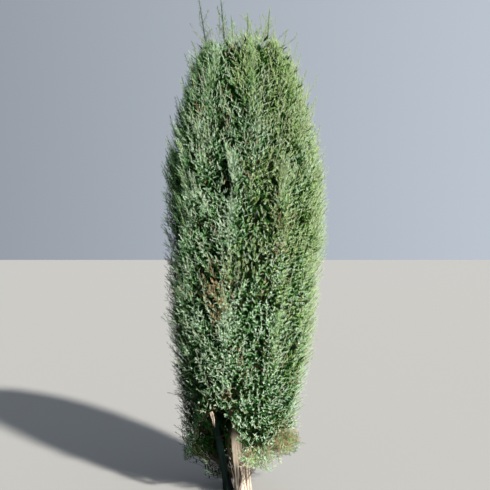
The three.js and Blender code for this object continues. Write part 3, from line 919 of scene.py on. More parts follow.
for k, plume in enumerate(plumes):
    if plume["ring"] != "leader":
        continue
    stem = stem_point(plume, np.linspace(plume["dense"] - 0.12, plume["to"], LEADER_POINTS))
    clothe(k, stem, (0.0026, 0.0012), size=0.036, spacing=0.008, open_angle=0.55, depth=LEADER_DEPTH)
    for j in range(SIDE_SHOOTS):
        foot = stem_point(plume, plume["dense"] - 0.10 + 0.045 * j)
        away, around = level_ways(2.4 * j + 6.28 * scatter(k, 71))
        tilt = 0.26 + 0.30 * scatter(j, k + 72)
        reach = min(0.08 + 0.06 * scatter(j, k + 73) - 0.008 * j, plume["to"] - 0.03 - foot[2])
        tip = foot + (math.sin(tilt) * away + math.cos(tilt) * UP) * reach
        clothe(k, arc(foot, tip, -0.014 * around), **LESSER_SHOOT)


# Lesser shoots and low sprays. The lesser shoots break the crown's outline above and at its
# shoulders: foot x, foot z, tip x, tip z and sideways bend. The low sprays are three short live
# twigs on the side stem: the height where each leaves it, and its tip.
SPRIGS = [
    (-0.150, 2.94, -0.154, 3.10, 0.004),
    (0.065, 2.92, -0.014, 3.05, 0.016),
    (0.122, 2.88, 0.086, 3.00, -0.004),
    (0.126, 2.90, 0.112, 3.04, 0.003),
    (0.124, 2.90, 0.158, 3.01, -0.004),
    (0.190, 2.84, 0.203, 2.975, 0.003),
    (0.240, 2.80, 0.280, 2.945, 0.006),
    (0.270, 2.76, 0.306, 2.865, 0.005),
    (0.295, 2.72, 0.352, 2.89, 0.008),
    (0.315, 2.68, 0.378, 2.83, 0.008),
    (0.385, 2.50, 0.487, 2.69, 0.010),
    (0.355, 2.58, 0.408, 2.70, 0.006),
    (0.415, 2.42, 0.474, 2.54, 0.005),
    (-0.275, 2.76, -0.318, 2.89, -0.004),
    (-0.315, 2.70, -0.370, 2.81, -0.004),
    (-0.345, 2.53, -0.390, 2.665, -0.004),
    (-0.390, 2.40, -0.434, 2.535, -0.004),
    (-0.425, 2.28, -0.466, 2.42, -0.004),
    (-0.470, 1.95, -0.508, 2.10, -0.003),
]
LOW_SPRAYS = [
    (0.200, (-0.258, -0.06, 0.285)),
    (0.155, (-0.250, -0.07, 0.235)),
    (0.110, (-0.232, -0.07, 0.165)),
]
# The low sprays' depth is set above the surface. This gives them the palest tones, a painted light, and keeps
# them out of the painted shade at the low left.
LOW_SPRAY_DEPTH = -0.05
for level, tip in LOW_SPRAYS:
    k = plume_at(np.array(tip))
    line = arc(side_stem_centre(np.array(level)), np.array(tip), (0, 0, -0.012))
    twig_lines[plumes[k]["ring"]].append(tapered(line[:5], 0.0026, 0.0016))
    clothe(k, line[3:], (0.0016, 0.0008), size=0.032, spacing=0.007, depth=LOW_SPRAY_DEPTH)
for j, (foot_x, foot_z, tip_x, tip_z, bend) in enumerate(SPRIGS):
    y = 0.10 * (scatter(j, 91) - 0.5)
    foot, tip = np.array([foot_x, y, foot_z]), np.array([tip_x, 1.2 * y, tip_z])
    clothe(plume_at(foot), arc(foot, tip, (bend, 0, 0)), **LESSER_SHOOT)


# Dry tangle. Low at the right, under the green foliage, the branches have died back to a tangle
# of thin brown twigs with tufts of dying needles. A few come straight from the trunk, the rest
# hang from the foliage's hem.
DRY_BRANCHES = 14
HEM_TWIGS = 320
DRY_SIDE_TWIGS = 4
LOWEST_TANGLE = 0.24
LOWEST_DRY_BRANCH = 0.19
# These depths only set the tones of the tangle's shoots. The greater one on the right gives darker tones, a
# painted shade under the hem.
TANGLE_DEPTH = 0.026
RIGHT_TANGLE_DEPTH = 0.068
RIGHT_TANGLE_TURN = -0.8
dry_twigs = []
for j in range(DRY_BRANCHES + HEM_TWIGS):
    from_trunk = j < DRY_BRANCHES
    turn = math.radians(-80 + 112 * ((j * GOLDEN) % 1))
    away, around = level_ways(turn)
    if from_trunk:
        foot = trunk_centre(np.array(0.06 + 0.15 * scatter(j, 131))) + 0.04 * away
        tip = crown_centre(np.array(0.20 + 0.20 * scatter(j, 133))) + (0.14 + 0.18 * scatter(j, 132)) * away
        bend = 0.08 * (scatter(j, 134) - 0.5) * around
        bend[2] = 0.08 * (scatter(j, 135) - 0.5)
    else:
        level = float(crown_foot(turn)) + 0.07 * scatter(j, 133) - 0.01
        out = float(crown_radius(np.array(level), turn)) * (0.42 + 0.54 * scatter(j, 132)) - 0.02
        foot = crown_centre(np.array(level)) + out * away
        tip = foot + (0.05 * scatter(j, 136) - 0.005) * away + 0.10 * (scatter(j, 134) - 0.5) * around
        tip[2] = max(tip[2] - 0.03 - 0.075 * scatter(j, 137), LOWEST_TANGLE)
        bend = 0.012 * away
    k = plume_at(foot)
    line = arc(foot, tip, bend)
    dry_twigs.append(tapered(line, 0.0020 if from_trunk else 0.0013, 0.0007))
    for m in range(DRY_SIDE_TWIGS):
        start = line[2] + (line[5] - line[2]) * (m + 1) / DRY_SIDE_TWIGS
        side = np.array([scatter(m, j + draw) for draw in (138, 139, 140)]) - [0.45, 0.5, 0.45]
        side /= np.linalg.norm(side) + 1e-6
        end = start + side * (0.015 + 0.035 * scatter(m, j + 141))
        if end[2] < (LOWEST_DRY_BRANCH if from_trunk else LOWEST_TANGLE) or not in_box(end, 0):
            continue
        dry_twigs.append(tapered(arc(start, end, (0, 0, 0.005))[::5], 0.0010, 0.0006))
        if not from_trunk:
            depth = RIGHT_TANGLE_DEPTH if turn > RIGHT_TANGLE_TURN else TANGLE_DEPTH
            add_shoot(k, start, side, 0.024 + 0.012 * scatter(m, j + 142), depth)
            add_shoot(k, end - 0.3 * (end - start), side + 0.4 * UP, 0.030, depth + 0.006)


# Top twigs. Fine bare twigs stand up out of the crown's flat top between the leaders. They are
# arched and carry only thin, short shoots.
TOP_TWIGS = 44
TOP_TWIG_SPREAD = 0.27
TOP_TWIG_DEPTH = 0.045
for j in range(TOP_TWIGS):
    away, around = level_ways(2 * math.pi * ((j * GOLDEN) % 1))
    foot = crown_centre(np.array(2.80 + 0.06 * scatter(j, 191)))
    foot += TOP_TWIG_SPREAD * math.sqrt((j + 0.5) / TOP_TWIGS) * away
    tilt = 0.1 + 0.9 * scatter(j, 193)
    reach = 0.12 + 0.08 * scatter(j, 192) - 0.06 * tilt
    tip = foot + reach * (math.sin(tilt) * away + math.cos(tilt) * UP)
    line = arc(foot, tip, (0.05 * scatter(j, 194) - 0.025) * away)
    clothe(plume_at(foot), line, (0.0013, 0.0007), size=0.022, spacing=0.010, depth=TOP_TWIG_DEPTH)


# Side twigs in the thin places. Where two plumes meet, a few places are left thin. Points spread
# evenly just under the surface find them, and a short twig from the nearest shoot fills each.
FILL_POINTS = 9000
FILL_DEPTH = 0.028
WIDEST_GAP = 0.026
FILL_SHOOTS = 3

i = np.arange(FILL_POINTS)
z = 0.2 + 2.64 * (i + 0.5) / FILL_POINTS
turn = 2 * math.pi * ((i * GOLDEN) % 1)
way_out = np.stack([np.cos(turn), np.sin(turn), 0 * turn], -1)
surface = crown_centre(z) + way_out * crown_radius(z, turn)[:, None]
spot = surface - way_out * (cushions(surface)[1] + FILL_DEPTH)[:, None]
open_place = (z > crown_foot(turn) + 0.03) & clear_of_limbs(spot, 0.01)
nearest_shoot = kdtree.KDTree(len(shoots))
for s, shoot in enumerate(shoots):
    nearest_shoot.insert(shoot[0] + 0.5 * shoot[2] * shoot[1], s)
nearest_shoot.balance()
for j in np.flatnonzero(open_place):
    _, s, gap = nearest_shoot.find(spot[j])
    if gap < WIDEST_GAP:
        continue
    start, _, _, k = shoots[s][:4]
    line = arc(start, spot[j], (0, 0, -0.15 * gap))
    twig_lines[plumes[k]["ring"]].append(tapered(line, 0.0013, 0.0008))
    around = np.array([-way_out[j, 1], way_out[j, 0], 0])
    for m in range(FILL_SHOOTS):
        aim = UP + 0.6 * way_out[j] * scatter(j, 141 + m) + 1.2 * (scatter(j, 151 + m) - 0.5) * around
        size = 0.034 * (0.8 + 0.4 * scatter(j, 161 + m))
        add_shoot(k, line[5 - m], unit(aim), size, 0.03 * scatter(j, 171 + m))


# Stems and twigs. Round brown wood, thinner towards the tips, young and paler where it carries
# the live shoots. A tree of nodes makes tubes along the lines that the sections above have laid.
# The low bough is the bare foot of the front stem, with the trunk's pale bark.
TWIG_SIDES = 3
STEM_SIDES = 7
BOUGH_SIDES = 9
BOUGH_POINTS = 8
BOUGH_BARK = 1.06


def line_mesh(name, some_lines):
    """A mesh of edges along some lines, with the thickness of each point."""
    counts = [len(line) for line, _ in some_lines]
    starts = np.concatenate([[0], np.cumsum(counts)[:-1]])
    edges = [np.stack([np.arange(s, s + n - 1), np.arange(s + 1, s + n)], -1) for s, n in zip(starts, counts)]
    mesh = bpy.data.meshes.new(name)
    points = np.concatenate([line for line, _ in some_lines])
    mesh.from_pydata(points.tolist(), np.concatenate(edges).tolist(), [])
    thick = np.concatenate([thick for _, thick in some_lines]).astype(np.float32)
    mesh.attributes.new("thickness", "FLOAT", "POINT").data.foreach_set("value", thick)
    piece = bpy.data.objects.new(name, mesh)
    bpy.context.scene.collection.objects.link(piece)
    return piece


def node_tree(name, *sockets):
    """An empty geometry tree with its named inputs and one geometry output."""
    tree = bpy.data.node_groups.new(name, "GeometryNodeTree")
    for label, kind, value in sockets:
        made = tree.interface.new_socket(name=label, in_out="INPUT", socket_type=kind)
        if value is not None:
            made.default_value = value
    tree.interface.new_socket(name="Geometry", in_out="OUTPUT", socket_type="NodeSocketGeometry")
    return tree, tree.nodes.new("NodeGroupInput"), tree.nodes.new("NodeGroupOutput")


def named(tree, name, kind):
    """Reads an attribute of the points in a tree."""
    node = add_node(tree, "GeometryNodeInputNamedAttribute", {"Name": name}, data_type=kind)
    return node.outputs["Attribute"]


def grow(piece, tree, **settings):
    """Runs a tree on a piece, and keeps what it makes as the piece's own plain mesh."""
    modifier = piece.modifiers.new("growth", "NODES")
    modifier.node_group = tree
    for socket in tree.interface.items_tree:
        key = socket.name.lower().replace(" ", "_")
        if socket.in_out == "INPUT" and key in settings:
            modifier[socket.identifier] = settings[key]
    graph = bpy.context.evaluated_depsgraph_get()
    mesh = bpy.data.meshes.new_from_object(piece.evaluated_get(graph), depsgraph=graph)
    piece.modifiers.clear()
    piece.data = mesh
    mesh.name = piece.name
    return piece


twig_tree, twig_in, twig_out = node_tree(
    "twig_growth",
    ("Lines", "NodeSocketGeometry", None),
    ("Sides", "NodeSocketInt", TWIG_SIDES),
    ("Bark", "NodeSocketMaterial", None),
)
to_curve = add_node(twig_tree, "GeometryNodeMeshToCurve")
profile = add_node(twig_tree, "GeometryNodeCurvePrimitiveCircle", {"Radius": 1.0})
to_mesh = add_node(twig_tree, "GeometryNodeCurveToMesh", {"Fill Caps": True})
twig_joined = add_node(twig_tree, "GeometryNodeRealizeInstances")
twig_coat = add_node(twig_tree, "GeometryNodeSetMaterial")
wire(
    twig_tree,
    (twig_in.outputs["Lines"], to_curve.inputs["Mesh"]),
    (twig_in.outputs["Sides"], profile.inputs["Resolution"]),
    (to_curve.outputs["Curve"], to_mesh.inputs["Curve"]),
    (profile.outputs["Curve"], to_mesh.inputs["Profile Curve"]),
    (named(twig_tree, "thickness", "FLOAT"), to_mesh.inputs["Scale"]),
    (to_mesh.outputs["Mesh"], twig_joined.inputs["Geometry"]),
    (twig_joined.outputs["Geometry"], twig_coat.inputs["Geometry"]),
    (twig_in.outputs["Bark"], twig_coat.inputs["Material"]),
    (twig_coat.outputs["Geometry"], twig_out.inputs["Geometry"]),
)


def wood_piece(name, some_lines, sides, bark, nodes):
    """One piece of round wood along some lines, handed over as bark."""
    piece = grow(line_mesh(name, some_lines), twig_tree, sides=sides, bark=bark)
    hand_over(piece, nodes)


twig_bark = plain_material("twig_bark", (0.052, 0.050, 0.028), 0.85, gloss=0.1)
young_bark = plain_material("young_bark", (0.36, 0.31, 0.19), 0.7, gloss=0.3)
dry_wood = plain_material("dry_wood", (0.26, 0.175, 0.115), 0.8, gloss=0.2)
for ring in RING_NAMES:
    wood_piece(f"stems_{ring}", stem_lines[ring], STEM_SIDES, twig_bark, ring_nodes[ring])
    wood_piece(f"twigs_{ring}", twig_lines[ring], TWIG_SIDES, twig_bark, ring_nodes[ring])
    wood_piece(f"young_twigs_{ring}", young_lines[ring], TWIG_SIDES, young_bark, ring_nodes[ring])
front_stem, front_thick = stem_lines["skirt"][0]
low_bough = [(front_stem[:BOUGH_POINTS], BOUGH_BARK * front_thick[:BOUGH_POINTS])]
wood_piece("low_bough", low_bough, BOUGH_SIDES, pale_bark, ["skirt_1"])
wood_piece("dry_twigs", dry_twigs, TWIG_SIDES, dry_wood, ["skirt_1", "skirt_2"])


# Needle shoots. Each is the green end of a twig, with whorls of three sharp needles, folded along
# the middle, open at the root of the shoot and closing round its tip. One tree of nodes makes a
# few kinds of shoot, and a second sets a copy of one of them at every place.
NEEDLE_LENGTH = 0.0105
NEEDLE_WIDTH = 0.0030
NEEDLES_ROUND = 3
SHOOT_KINDS = 5
SHOOT_LENGTH = 0.034
WHORL_SHAKE = (0.16, 0.2, 0.3)


def needle_object(name, length, width):
    """One needle: two triangles that meet along its folded middle."""
    fold = -0.15 * width
    points = [(0, 0, 0), (-width / 2, fold, 0.3 * length), (width / 2, fold, 0.3 * length), (0, 0, length)]
    return mesh_object(name, points, [(0, 3, 1), (0, 2, 3)])


needle = needle_object("needle", NEEDLE_LENGTH, NEEDLE_WIDTH)

shoot_tree, shoot_in, shoot_out = node_tree(
    "shoot_growth",
    ("Base", "NodeSocketGeometry", None),
    ("Needle", "NodeSocketObject", None),
    ("Whorls", "NodeSocketInt", 4),
    ("Length", "NodeSocketFloat", SHOOT_LENGTH),
    ("Spread", "NodeSocketFloat", 1.05),
    ("Bend", "NodeSocketFloat", 0.9),
    ("Seed", "NodeSocketInt", 1),
)


def figure(operation, *terms):
    """One sum in the shoots' tree. Each term is a number or another node's output."""
    node = add_node(shoot_tree, "ShaderNodeMath", operation=operation)
    for socket, term in zip(node.inputs, terms):
        if isinstance(term, (int, float)):
            socket.default_value = term
        else:
            shoot_tree.links.new(term, socket)
    return node.outputs[0]


whorls = shoot_in.outputs["Whorls"]
needle_line = add_node(shoot_tree, "GeometryNodeMeshLine", {"Offset": (0, 0, 0)})
needle_number = add_node(shoot_tree, "GeometryNodeInputIndex").outputs[0]
whorl = figure("FLOOR", figure("DIVIDE", needle_number, NEEDLES_ROUND))
share_up = figure("DIVIDE", whorl, figure("SUBTRACT", whorls, 1))
height = figure("MULTIPLY", figure("MULTIPLY_ADD", share_up, 0.72, 0.04), shoot_in.outputs["Length"])
place = add_node(shoot_tree, "ShaderNodeCombineXYZ")
raised = add_node(shoot_tree, "GeometryNodeSetPosition")
shake_range = {"Min": tuple(-most for most in WHORL_SHAKE), "Max": WHORL_SHAKE}
shake = add_node(shoot_tree, "FunctionNodeRandomValue", shake_range, data_type="FLOAT_VECTOR")
turned = figure("MULTIPLY_ADD", needle_number, 2 * math.pi / NEEDLES_ROUND, figure("MULTIPLY", whorl, 1.1))
tilt = figure("MULTIPLY", shoot_in.outputs["Spread"], figure("MULTIPLY_ADD", share_up, -0.62, 1))
needle_lean = add_node(shoot_tree, "ShaderNodeCombineXYZ")
shaken = add_node(shoot_tree, "ShaderNodeVectorMath", operation="ADD")
needle_turn = add_node(shoot_tree, "FunctionNodeEulerToRotation")
needle_shape = add_node(shoot_tree, "GeometryNodeObjectInfo")
whorls_set = add_node(shoot_tree, "GeometryNodeInstanceOnPoints")
smaller = figure("MULTIPLY_ADD", figure("POWER", share_up, 2), -0.42, 1)
whorls_joined = add_node(shoot_tree, "GeometryNodeRealizeInstances")
point_at = add_node(shoot_tree, "GeometryNodeInputPosition")
point_parts = add_node(shoot_tree, "ShaderNodeSeparateXYZ")
bend = figure("MULTIPLY", figure("POWER", point_parts.outputs["Z"], 2), shoot_in.outputs["Bend"])
swerve = add_node(shoot_tree, "ShaderNodeCombineXYZ")
bent = add_node(shoot_tree, "GeometryNodeSetPosition")
wire(
    shoot_tree,
    (figure("MULTIPLY", whorls, NEEDLES_ROUND), needle_line.inputs["Count"]),
    (height, place.inputs["Z"]),
    (needle_line.outputs["Mesh"], raised.inputs["Geometry"]),
    (place.outputs["Vector"], raised.inputs["Position"]),
    (shoot_in.outputs["Seed"], shake.inputs["Seed"]),
    (tilt, needle_lean.inputs["X"]),
    (turned, needle_lean.inputs["Z"]),
    (needle_lean.outputs["Vector"], shaken.inputs[0]),
    (shake.outputs[0], shaken.inputs[1]),
    (shaken.outputs["Vector"], needle_turn.inputs["Euler"]),
    (shoot_in.outputs["Needle"], needle_shape.inputs["Object"]),
    (raised.outputs["Geometry"], whorls_set.inputs["Points"]),
    (needle_shape.outputs["Geometry"], whorls_set.inputs["Instance"]),
    (needle_turn.outputs["Rotation"], whorls_set.inputs["Rotation"]),
    (smaller, whorls_set.inputs["Scale"]),
    (whorls_set.outputs["Instances"], whorls_joined.inputs["Geometry"]),
    (point_at.outputs["Position"], point_parts.inputs["Vector"]),
    (bend, swerve.inputs["X"]),
    (whorls_joined.outputs["Geometry"], bent.inputs["Geometry"]),
    (swerve.outputs["Vector"], bent.inputs["Offset"]),
    (bent.outputs["Geometry"], shoot_out.inputs["Geometry"]),
)


def shoot_kinds(name, number, **settings):
    """A collection of slightly different shoots of the same size."""
    kinds = bpy.data.collections.new(name)
    for s in range(number):
        shoot = mesh_object(f"{name}_{s}", [(0, 0, 0)], [])
        grow(shoot, shoot_tree, spread=0.64 + 0.06 * s, bend=1.2 * s, seed=s + 1, **settings)
        bpy.context.scene.collection.objects.unlink(shoot)
        kinds.objects.link(shoot)
    return kinds


def clear_away(kinds, single):
    """Removes the kinds of shoot and their needle once the pieces are made."""
    for shoot in list(kinds.objects):
        bpy.data.objects.remove(shoot)
    bpy.data.collections.remove(kinds)
    bpy.data.objects.remove(single)


live_kinds = shoot_kinds("live_shoot", SHOOT_KINDS, needle=needle, whorls=4, length=SHOOT_LENGTH)

place_tree, place_in, place_out = node_tree(
    "shoot_places",
    ("Places", "NodeSocketGeometry", None),
    ("Kinds", "NodeSocketCollection", None),
    ("Foliage", "NodeSocketMaterial", None),
)
one_by_one = {"Separate Children": True, "Reset Children": True}
choices = add_node(place_tree, "GeometryNodeCollectionInfo", one_by_one, transform_space="ORIGINAL")
put = add_node(place_tree, "GeometryNodeInstanceOnPoints", {"Pick Instance": True})
turning = add_node(place_tree, "FunctionNodeEulerToRotation")
shoots_joined = add_node(place_tree, "GeometryNodeRealizeInstances")
coat = add_node(place_tree, "GeometryNodeSetMaterial")
wire(
    place_tree,
    (place_in.outputs["Kinds"], choices.inputs["Collection"]),
    (place_in.outputs["Places"], put.inputs["Points"]),
    (choices.outputs["Instances"], put.inputs["Instance"]),
    (named(place_tree, "kind", "INT"), put.inputs["Instance Index"]),
    (named(place_tree, "turn", "FLOAT_VECTOR"), turning.inputs["Euler"]),
    (turning.outputs["Rotation"], put.inputs["Rotation"]),
    (named(place_tree, "size", "FLOAT"), put.inputs["Scale"]),
    (put.outputs["Instances"], shoots_joined.inputs["Geometry"]),
    (shoots_joined.outputs["Geometry"], coat.inputs["Geometry"]),
    (place_in.outputs["Foliage"], coat.inputs["Material"]),
    (coat.outputs["Geometry"], place_out.inputs["Geometry"]),
)


def placed(name, roots, aims, sizes, kinds, material):
    """One piece: a copy of a small shape at each root, along its aim, at its size."""
    mesh = bpy.data.meshes.new(name)
    mesh.from_pydata(roots.tolist(), [], [])
    turn = np.zeros((len(roots), 3))
    turn[:, 1] = np.arccos(np.clip(aims[:, 2], -1, 1))
    turn[:, 2] = np.arctan2(aims[:, 1], aims[:, 0])
    pick = np.arange(len(roots)) % len(kinds.objects)
    for label, kind, slot, data in (
        ("turn", "FLOAT_VECTOR", "vector", turn),
        ("size", "FLOAT", "value", sizes),
        ("kind", "INT", "value", pick),
    ):
        array = np.asarray(data, np.int32 if kind == "INT" else np.float32).ravel()
        mesh.attributes.new(label, kind, "POINT").data.foreach_set(slot, array)
    piece = bpy.data.objects.new(name, mesh)
    bpy.context.scene.collection.objects.link(piece)
    return grow(piece, place_tree, kinds=kinds, foliage=material)


def columns(rows):
    """One array for each column of a list of rows."""
    return [np.array(column) for column in zip(*rows)]


# Colours of the needles. Young needles are pale, with a waxy bloom, and those deeper down are dull and dark,
# partly from their age and partly as painted shade: three tones, cool on the left and warmer on the right and
# at the top, where the warmth on the right is painted key light. Dead shoots are brown, in patches: the way
# round in degrees, the height, how far it reaches, and its share.
NEEDLE_COLOURS = {
    "deep_blue_green": (0.038, 0.148, 0.036),
    "blue_green": (0.245, 0.495, 0.210),
    "pale_blue_green": (0.490, 0.650, 0.462),
    "deep_green": (0.050, 0.163, 0.025),
    "yellow_green": (0.300, 0.485, 0.160),
    "pale_yellow_green": (0.440, 0.575, 0.318),
    "dead_brown": (0.420, 0.330, 0.180),
    "shaded_green": (0.013, 0.042, 0.018),
}
TONE_STEPS = [0.14, 0.68]
WARM_FROM = 0.25
STRAY_BROWN = 0.014
BROWN_PATCHES = [
    (-115, 1.37, 0.11, 0.66),
    (-111, 1.27, 0.19, 0.38),
    (-112, 1.16, 0.06, 0.45),
    (-131, 2.38, 0.06, 0.45),
    (-105, 2.31, 0.05, 0.35),
    (-85, 2.17, 0.05, 0.35),
    (-88, 2.02, 0.06, 0.45),
    (-64, 1.72, 0.08, 0.35),
    (-66, 1.56, 0.06, 0.35),
    (-90, 0.89, 0.06, 0.30),
    (-102, 0.68, 0.07, 0.40),
    (-76, 0.38, 0.07, 0.45),
    (-40, 0.36, 0.15, 0.42),
    (-8, 0.38, 0.17, 0.42),
    (20, 1.4, 0.1, 0.35),
    (75, 0.9, 0.12, 0.35),
    (130, 1.9, 0.09, 0.35),
]
tint_names = list(NEEDLE_COLOURS)
needle_coats = {
    name: plain_material("needles_" + name, colour, 0.5, gloss=0.18)
    for name, colour in NEEDLE_COLOURS.items()
}

shoot_root, shoot_aim, shoot_size, shoot_plume, shoot_depth, shoot_twig = columns(shoots)
shoot_z = shoot_root[:, 2]
shoot_number = np.arange(len(shoots))
cushion = cushions(shoot_root)[0]
turn, out = turn_and_out(shoot_root)
leftward = -np.cos(turn)

# How light each shoot is: less with its depth, which is partly older needles and partly painted shade, less
# at the left edge, which is painted shade, less at the top, and uneven from cushion to cushion and from twig
# to twig.
light = 0.95 - shoot_depth / 0.075 + 0.50 * (scatter(shoot_number, 101) - 0.5)
light += 0.20 * (scatter(cushion, 102) - 0.5) + 0.36 * (scatter(shoot_twig, 106) - 0.5)
light -= 0.75 * ramp(leftward, 0.66, 0.24)
light += 0.08 - 0.16 * ramp(shoot_z, 2.30, 0.5)

# How warm: more on the side that the key light reaches, which is painted warm light, and at the top, less
# near the ground.
warmth = 0.5 * np.cos(turn - math.radians(-18)) + 0.30 * ramp(shoot_z, 2.1, 0.8)
warmth -= 0.30 * ramp(1.5 - shoot_z, 0, 0.8)
warmth += 0.5 * (scatter(cushion, 103) - 0.5) + 0.4 * (scatter(shoot_number, 104) - 0.5)
tint = np.digitize(light, TONE_STEPS) + 3 * (warmth > WARM_FROM)

brown_chance = np.full(len(turn), STRAY_BROWN)
for at, level, reach, share in BROWN_PATCHES:
    aside = np.abs(wrapped(turn - math.radians(at))) * out
    away = (2 * aside) ** 2 + (shoot_z - level) ** 2
    brown_chance += share * np.exp(-away / (2 * (reach * 0.6) ** 2))
tint[scatter(shoot_number, 105) < brown_chance] = tint_names.index("dead_brown")

# Shoots at the low left and on the left flank take the nearly black shaded_green, a painted shade, but not
# the sprays on the side stem.
low_left = ramp(0.98 - shoot_z, 0, 0.36) * ramp(np.cos(turn - math.radians(172)), 0.30, 0.2)
low_left *= shoot_depth > 0.9 * LOW_SPRAY_DEPTH
left_flank = ramp(leftward, 0.80, 0.14) * ramp(2.05 - shoot_z, 0, 0.5)
in_shade = scatter(shoot_number, 107) < np.maximum(0.93 * low_left, 0.55 * left_flank)
tint[in_shade] = tint_names.index("shaded_green")

plume_rings = np.array([plume["ring"] for plume in plumes])
for ring in RING_NAMES:
    for number, tint_name in enumerate(tint_names):
        chosen = (plume_rings[shoot_plume] == ring) & (tint == number)
        if not chosen.any():
            continue
        piece = placed(
            f"needles_{ring}_{tint_name}",
            shoot_root[chosen],
            shoot_aim[chosen],
            shoot_size[chosen] / SHOOT_LENGTH,
            live_kinds,
            needle_coats[tint_name],
        )
        hand_over(piece, ring_nodes[ring])
clear_away(live_kinds, needle)


# Old inner foliage. Behind the live shoots the crown is filled with old, dull shoots on bare twigs that get
# little light, dense enough to hide the sky behind them. Their nearly black colours are partly the dull old
# needles and partly painted shade.
OLD_NEEDLE_LENGTH = 0.055
OLD_NEEDLE_WIDTH = 0.0125
OLD_SHOOT_LENGTH = 0.06
OLD_SHOOT_KINDS = 3
OLD_FAN = math.radians(150)
OLD_LEAN = 1.1
INNER_COUNT = dict(skirt=260, flank=290, shoulder=290, leader=60)

old_needle = needle_object("old_needle", OLD_NEEDLE_LENGTH, OLD_NEEDLE_WIDTH)
old_kinds = shoot_kinds("old_shoot", OLD_SHOOT_KINDS, needle=old_needle, whorls=2, length=OLD_SHOOT_LENGTH)

inner = []
for k, plume in enumerate(plumes):
    i = np.arange(INNER_COUNT[plume["ring"]])
    z = plume["start"] + (plume["dense"] - plume["start"] - 0.03) * (i + 0.5) / len(i)
    frame_at = frames(plume, z)
    fan = OLD_FAN * (2 * ((i * GOLDEN + scatter(k, 5)) % 1) - 1)
    source = stem_point(plume, z)
    outward = leaning(frame_at, fan, np.full(len(i), OLD_LEAN))
    deep = i % 3 == 0
    room = room_along(k, source, outward, plume["width"] * 1.3, 0.004, 0.055)
    back = np.where(deep, 0.07, 0.015) + 0.04 * scatter(i, k + 9)
    root = source + outward * np.maximum(room - back, 0)[:, None]
    aim = leaning(frame_at, fan, 0.25 + 0.5 * scatter(i, k + 11))
    size = np.where(deep, 1.9, 1.0) * (0.8 + 0.4 * scatter(i, k + 31))
    end = root + aim * size[:, None] * 0.09
    fits = (room > 0.02) & (depth_under(end) > np.where(z > 2.5, 0.055, 0.03))
    inner += [(root[j], aim[j], size[j], k) for j in np.flatnonzero(fits)]

# The deepest ones stand on long bare twigs, and close the gaps between the plumes. Each twig
# starts at the nearest stem, a little lower down.
DEEP_SHOOTS = [
    dict(count=2200, low=0.16, high=2.78, shallow=0.11, depths=0.10, blade=1.5),
    dict(count=1300, low=0.30, high=2.74, shallow=0.20, depths=0.20, blade=2.2),
    dict(count=900, low=0.20, high=0.80, shallow=0.06, depths=0.16, blade=1.5),
    dict(count=900, low=0.05, high=0.32, shallow=0.05, depths=0.20, blade=1.1),
]
OLD_TWIG_RADII = (0.0022, 0.0012)
OLD_TWIG_DROP = 0.09
stem_levels = np.linspace(0.1, 2.9, 57)
stem_places = np.array([stem_point(p, np.clip(stem_levels, p["seat"], p["to"])) for p in plumes])
old_lines = {ring: [] for ring in RING_NAMES}
for group in DEEP_SHOOTS:
    i = np.arange(group["count"])
    z = group["low"] + (group["high"] - group["low"]) * (i + 0.5) / len(i)
    turn = 2 * math.pi * ((i * GOLDEN + group["shallow"]) % 1)
    inwards = group["shallow"] + group["depths"] * scatter(i, 111)
    out = np.maximum(crown_radius(z, turn) - inwards, 0.03)
    spot = crown_centre(z) + np.stack([out * np.cos(turn), out * np.sin(turn), 0 * z], -1)
    size = np.where(z < 0.8, 0.6, 1) * group["blade"] * (0.8 + 0.4 * scatter(i, 112))
    low_behind = (np.sin(turn) > 0.3) & (np.cos(turn) < 0.1) & (z < 0.3)
    fits = (z > crown_foot(turn) + 0.03) | low_behind
    fits &= clear_of_limbs(spot, 0.01) & (depth_under(spot) > 0.05)
    for j in np.flatnonzero(fits):
        level = max(int(np.searchsorted(stem_levels, z[j] - OLD_TWIG_DROP)), 0)
        k = int(np.linalg.norm(stem_places[:, level] - spot[j], axis=-1).argmin())
        away, around = level_ways(turn[j])
        aim = away + (1.2 + 1.2 * scatter(j, 113)) * UP + 0.9 * (scatter(j, 114) - 0.5) * around
        inner.append((spot[j], unit(aim), size[j], k))
        twig = arc(stem_places[k, level], spot[j], (0, 0, -0.01))[[0, 2, 5]]
        old_lines[plumes[k]["ring"]].append(tapered(twig, *OLD_TWIG_RADII))

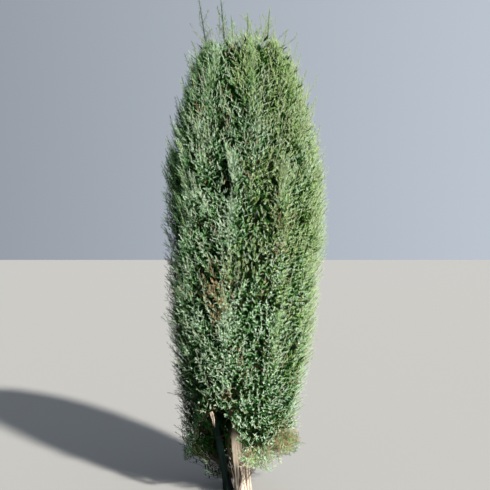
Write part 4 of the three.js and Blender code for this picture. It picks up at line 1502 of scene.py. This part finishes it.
inner_root, inner_aim, inner_size, inner_plume = columns(inner)
brown_ones = np.arange(len(inner)) % 4 == 3
# Both colours are nearly black: dull old needles, darkened further as painted shade.
old_coats = {
    "old_needles": (~brown_ones, plain_material("old_needles", (0.008, 0.040, 0.006), 0.8, gloss=0.06)),
    "old_brown_needles": (
        brown_ones,
        plain_material("old_brown_needles", (0.030, 0.036, 0.012), 0.85, gloss=0.06),
    ),
}
for ring in RING_NAMES:
    for label, (which, old_coat) in old_coats.items():
        chosen = (plume_rings[inner_plume] == ring) & which
        piece = placed(
            f"{label}_{ring}",
            inner_root[chosen],
            inner_aim[chosen],
            inner_size[chosen],
            old_kinds,
            old_coat,
        )
        hand_over(piece, ring_nodes[ring])
    wood_piece(f"old_twigs_{ring}", old_lines[ring], TWIG_SIDES, twig_bark, ring_nodes[ring])
clear_away(old_kinds, old_needle)


# Bare wood at the foot. Pale splinters stand round the broken end of the stub, and a frayed snag
# of a torn branch hangs from the foliage's edge over the opening.
SPLINTERS = 13
SPLINTER_RADIUS = 0.0035
SPLINTER_RING = 0.010
SPLINTER_SIDES = 4
splinters = []
for j in range(SPLINTERS):
    rim = SPLINTER_RING * level_ways(GOLDEN_ANGLE * j)[0]
    foot = stub_centre(np.array(STUB_TOP - 0.05)) + rim
    tip = foot + 0.3 * rim + (0.045 + 0.05 * scatter(j, 121)) * UP
    splinters.append(tapered(arc(foot, tip, 0.1 * rim), SPLINTER_RADIUS, 0.1 * SPLINTER_RADIUS))
wood_piece("splinters", splinters, SPLINTER_SIDES, pale_bark, ["broken_stub"])

SNAG_FIBRES = 7
SNAG_RADIUS = 0.0021
SNAG_TOP = np.array([-0.186, -0.30, 0.590])
SNAG_END = np.array([-0.170, -0.31, 0.495])
snag = []
for j in range(SNAG_FIBRES):
    aside = 0.012 * np.array([scatter(j, 181) - 0.5, scatter(j, 182) - 0.5, 0])
    end = SNAG_END + aside + 0.05 * scatter(j, 183) * UP
    fibre = arc(SNAG_TOP + 1.4 * aside, end, 0.5 * aside)
    snag.append(tapered(fibre, SNAG_RADIUS, 0.25 * SNAG_RADIUS))
torn_wood = plain_material("torn_wood", (0.62, 0.51, 0.39), 0.9, gloss=0.2)
wood_piece("torn_snag", snag, SPLINTER_SIDES, torn_wood, ["skirt_8"])
